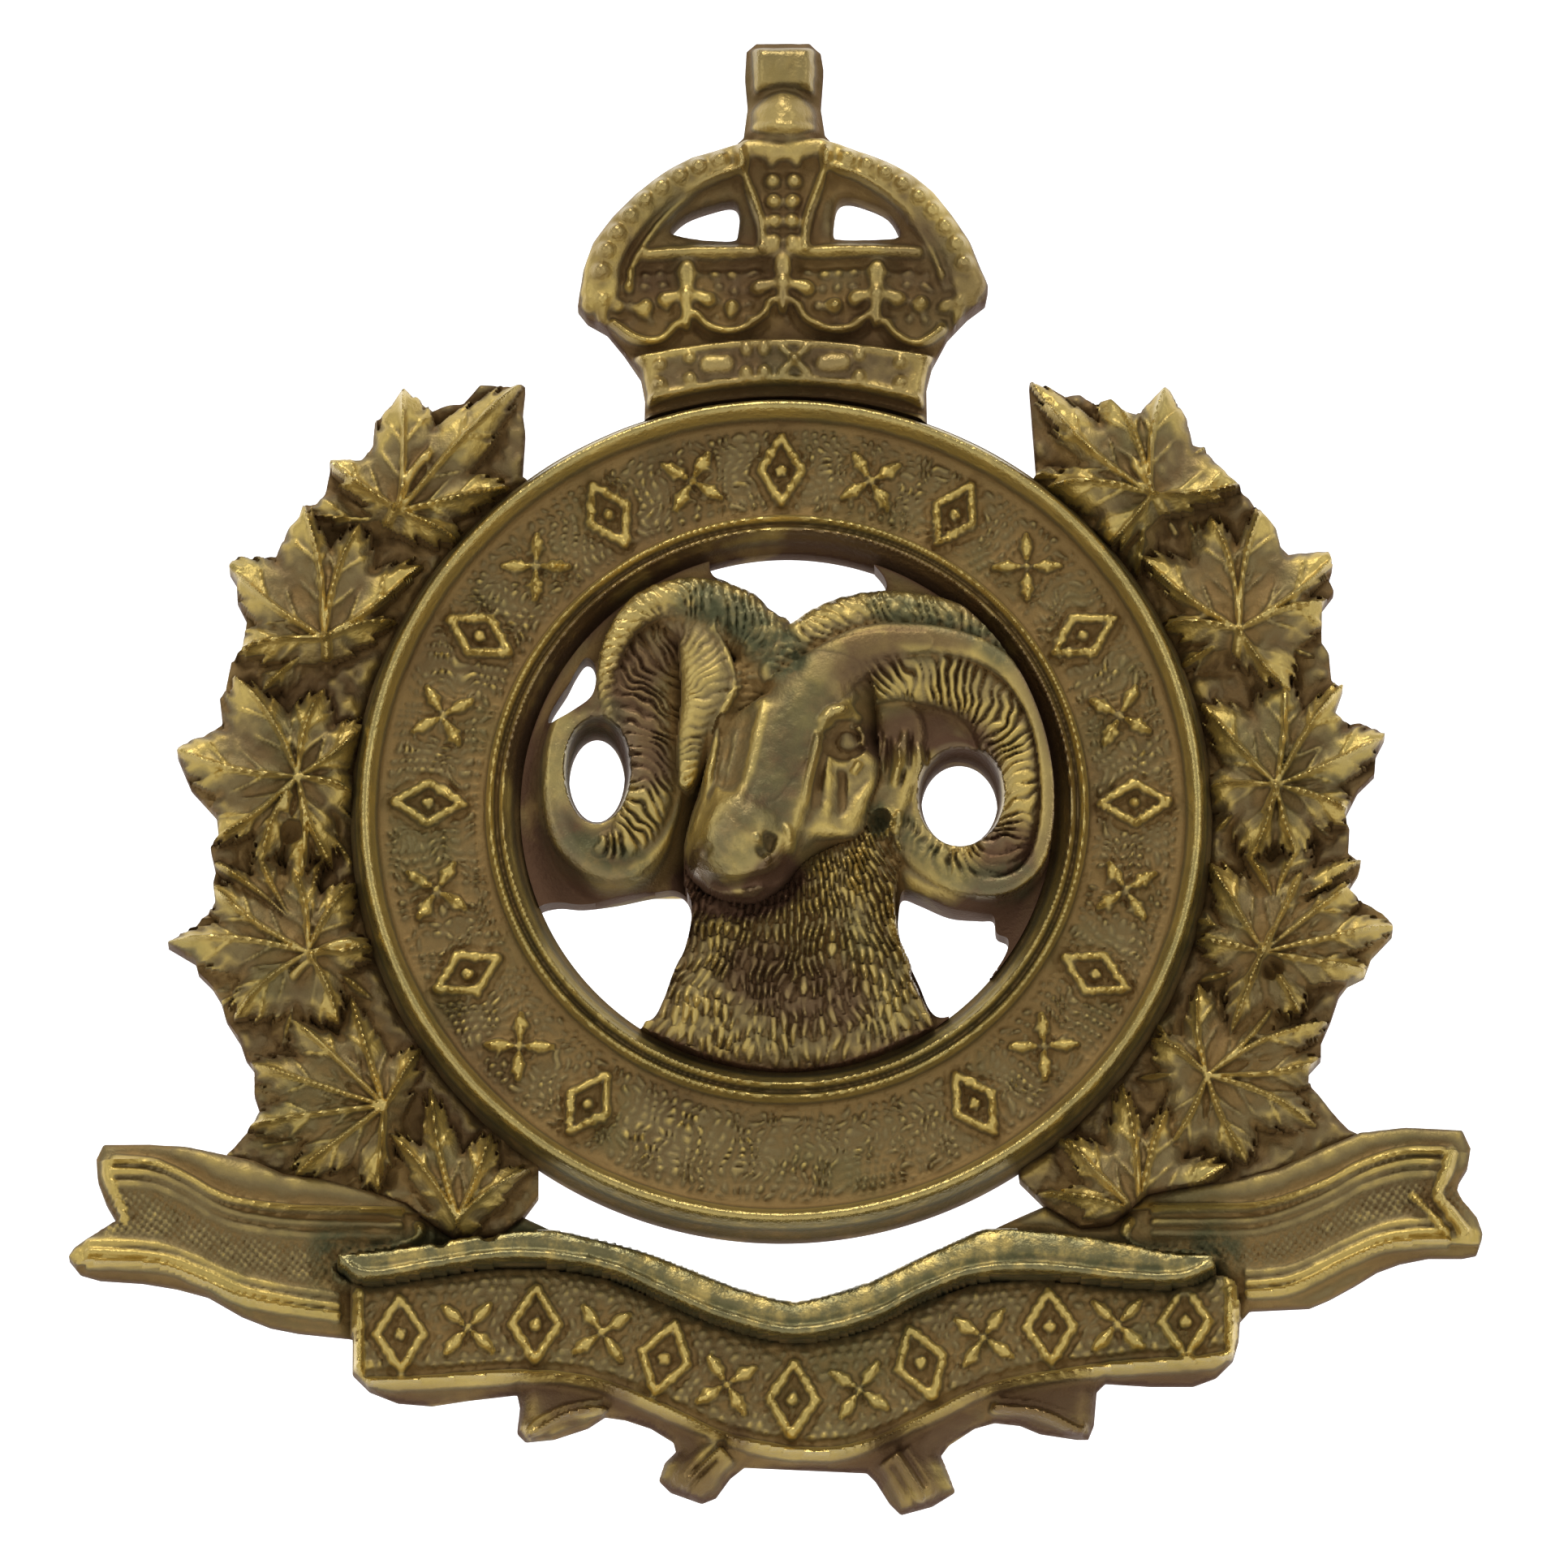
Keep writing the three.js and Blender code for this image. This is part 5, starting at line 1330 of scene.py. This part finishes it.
def struck_brass(name):
    """Old struck brass: bright on its crests, where it is rubbed and where a highlight is painted;
    painted fill light in the hollows; brown in the hollows and in patches that are partly patina and
    partly painted shade; green in patches.
    """
    material, tree, shader = nodes_of(name)
    hollow = attribute(tree, "hollow")
    large = clouds(tree, 0.16, 2.0, 0.5)
    small = clouds(tree, 1.3, 4.0, 0.65, 3.0)
    tarnish_and_shade = clouds(tree, 0.30, 3.0, 0.6, 11.0)
    height = math_node(tree, "MULTIPLY_ADD", hollow, 0.95, 0.5)
    height = math_node(tree, "ADD", height, math_node(tree, "MULTIPLY_ADD", small, 0.5, -0.25))
    height = math_node(tree, "ADD", height, math_node(tree, "MULTIPLY_ADD", large, 0.8, -0.40))
    colour = ramp(tree, height, BRASS_TONES)
    reddish = math_node(tree, "MULTIPLY", band(tree, large, 0.52, 0.66), 0.35)
    reddish = math_node(tree, "MULTIPLY", reddish, band(tree, height, 0.62, 0.30))
    colour = blend_colour(tree, reddish, colour, DEEP_BROWN)
    olive = math_node(tree, "MULTIPLY", band(tree, tarnish_and_shade, 0.50, 0.68), 0.22)
    colour = blend_colour(tree, olive, colour, OLIVE)
    # brown from the mesh's brown layer: patina in places, and painted shade on the side walls, on
    # faces turned down and between the leaves
    patina_and_shade = math_node(tree, "MULTIPLY", attribute(tree, "brown"), band(tree, tarnish_and_shade, 0.30, 0.50))
    colour = blend_colour(tree, patina_and_shade, colour, PATINA_AND_SHADE_BROWN)
    stain = math_node(tree, "MULTIPLY", attribute(tree, "stain"), band(tree, small, 0.25, 0.60))
    colour = blend_colour(tree, stain, colour, GREEN_STAIN)
    # pale on the tallest crests: rubbed brass, and a painted highlight standing in for glints
    rubbed_and_highlight = math_node(tree, "MULTIPLY", band(tree, hollow, 0.28, 0.75), 0.18)
    rubbed_and_highlight = math_node(tree, "MULTIPLY", rubbed_and_highlight, band(tree, attribute(tree, "relief"), 1.6, 2.3))
    colour = blend_colour(tree, rubbed_and_highlight, colour, RUBBED_AND_HIGHLIGHT_PALE)
    tree.links.new(colour, shader.inputs["Base Color"])
    shader.inputs["Metallic"].default_value = 0.86
    rough = math_node(tree, "MULTIPLY_ADD", height, -0.22, 0.68)
    tree.links.new(rough, shader.inputs["Roughness"])
    grain(tree, shader, 6.0, 0.7, 0.06)
    return material


def plain_metal(name, light, deep, roughness):
    """A small part of one metal, mottled between two colours."""
    material, tree, shader = nodes_of(name)
    colour = ramp(tree, clouds(tree, 0.8, 4.0, 0.65), [(0.35, deep), (0.65, light)])
    tree.links.new(colour, shader.inputs["Base Color"])
    shader.inputs["Metallic"].default_value = 0.95
    rough = math_node(tree, "MULTIPLY_ADD", clouds(tree, 3.0), 0.3, roughness - 0.15)
    tree.links.new(rough, shader.inputs["Roughness"])
    grain(tree, shader, 3.0, 0.3, 0.04)
    return material


# ---------------------------------------------------------------- the badge
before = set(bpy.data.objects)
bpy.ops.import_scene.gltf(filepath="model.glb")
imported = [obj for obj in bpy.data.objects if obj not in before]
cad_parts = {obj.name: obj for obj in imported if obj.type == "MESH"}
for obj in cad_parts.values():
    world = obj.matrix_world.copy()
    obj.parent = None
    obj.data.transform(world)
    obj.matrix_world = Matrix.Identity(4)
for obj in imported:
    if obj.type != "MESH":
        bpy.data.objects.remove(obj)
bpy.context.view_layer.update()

brass = struck_brass("struck_brass")
for name, made in (("circlet", make_circlet()), ("ram_head", make_ram()),
                   ("crown", make_crown()), ("wreath_left", make_wreath_left()),
                   ("wreath_right", make_wreath_right()), ("scroll", make_scroll())):
    piece = plate(name, *made)
    piece.data.materials.append(brass)
    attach(piece, "badge")
    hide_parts("badge_plate")

copper = plain_metal("lug_copper", (0.45, 0.20, 0.09), (0.13, 0.06, 0.03), 0.42)
braze = plain_metal("braze_alloy", (0.50, 0.42, 0.24), (0.20, 0.15, 0.08), 0.48)
pin_brass = plain_metal("pin_brass", (0.60, 0.44, 0.16), (0.30, 0.20, 0.07), 0.34)
fittings = {"split_pin": pin_brass}
for lug in ("lug_left", "lug_right"):
    fittings[lug] = copper
    fittings[lug + "_upper_braze"] = braze
    fittings[lug + "_lower_braze"] = braze
for node, material in fittings.items():
    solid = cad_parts[node]
    for slot in solid.material_slots:
        slot.material = material
    solid.data.polygons.foreach_set("use_smooth", np.ones(len(solid.data.polygons), bool))
    solid.data.set_sharp_from_angle(angle=math.radians(40))


# ---------------------------------------------------------------- stage, lights and camera
# metres
FLOOR = -0.26
SWEEP_START = 1.3
SWEEP_RADIUS = 0.7
WALL_TOP = 5.0
STAGE_HALF = 6.0
# the camera looks up at the badge by TILT; VIEW_WIDTH is what it sees across, in millimetres
LENS = 500
SENSOR = 36
TILT = math.radians(13.0)
VIEW_WIDTH = 55.4
AIM = (0.09, -2.2, 1.09)


def stage_mesh(name, points, shade, glow):
    """A pale sheet drawn out sideways from a line of (depth, height) points."""
    verts = [(x, depth, z) for depth, z in points for x in (-STAGE_HALF, STAGE_HALF)]
    faces = [(2 * k, 2 * k + 1, 2 * k + 3, 2 * k + 2) for k in range(len(points) - 1)]
    mesh = bpy.data.meshes.new(name)
    mesh.from_pydata(verts, [], faces)
    mesh.polygons.foreach_set("use_smooth", np.ones(len(mesh.polygons), bool))
    sheet = bpy.data.objects.new(name, mesh)
    bpy.context.scene.collection.objects.link(sheet)
    material, _, shader = nodes_of(name + "_paper")
    shader.inputs["Base Color"].default_value = (shade, shade, shade, 1)
    shader.inputs["Roughness"].default_value = 0.9
    shader.inputs["Emission Color"].default_value = (1, 1, 1, 1)
    shader.inputs["Emission Strength"].default_value = glow
    mesh.materials.append(material)


def backdrop():
    """A pale floor, and behind it a pale sheet that curves up into a wall."""
    edge = [(-STAGE_HALF, FLOOR), (SWEEP_START, FLOOR)]
    sweep = [(SWEEP_START + SWEEP_RADIUS * math.sin(a), FLOOR + SWEEP_RADIUS * (1 - math.cos(a)))
             for a in np.linspace(0, math.pi / 2, 24)]
    wall = [(SWEEP_START + SWEEP_RADIUS, WALL_TOP)]
    stage_mesh("floor", edge, 0.86, 0.0)
    stage_mesh("backdrop", sweep + wall, 0.93, 0.72)


def lamp(name, place, width, power, colour):
    """A round soft light aimed at the badge."""
    light = bpy.data.lights.new(name, "AREA")
    light.shape = "DISK"
    light.size = width
    light.energy = power
    light.color = colour
    body = bpy.data.objects.new(name, light)
    body.location = place
    body.rotation_euler = (-Vector(place)).to_track_quat("-Z", "Y").to_euler()
    bpy.context.scene.collection.objects.link(body)


def camera():
    """A long lens in front of the badge and a little below it."""
    data = bpy.data.cameras.new("camera")
    data.lens = LENS
    data.sensor_width = SENSOR
    data.clip_start = 0.01
    data.clip_end = 20
    body = bpy.data.objects.new("camera", data)
    aim = Vector(AIM) * MM
    distance = VIEW_WIDTH * MM * LENS / SENSOR
    body.location = aim + Vector((0, -math.cos(TILT), -math.sin(TILT))) * distance
    body.rotation_euler = (aim - body.location).to_track_quat("-Z", "Y").to_euler()
    bpy.context.scene.collection.objects.link(body)
    bpy.context.scene.camera = body


backdrop()
lamp("key", (-0.05, -0.22, 0.52), 0.30, 1.25, (1.0, 0.98, 0.95))
lamp("fill_right", (0.45, -0.35, 0.12), 0.35, 0.35, (0.95, 0.98, 1.0))
lamp("fill_left", (-0.45, -0.35, 0.05), 0.35, 0.3, (0.95, 0.98, 1.0))
camera()

world = bpy.data.worlds.new("studio")
world.use_nodes = True
world.node_tree.nodes["Background"].inputs[0].default_value = (1, 1, 1, 1)
world.node_tree.nodes["Background"].inputs[1].default_value = 0.60
bpy.context.scene.world = world
bpy.context.scene.view_settings.view_transform = "Standard"
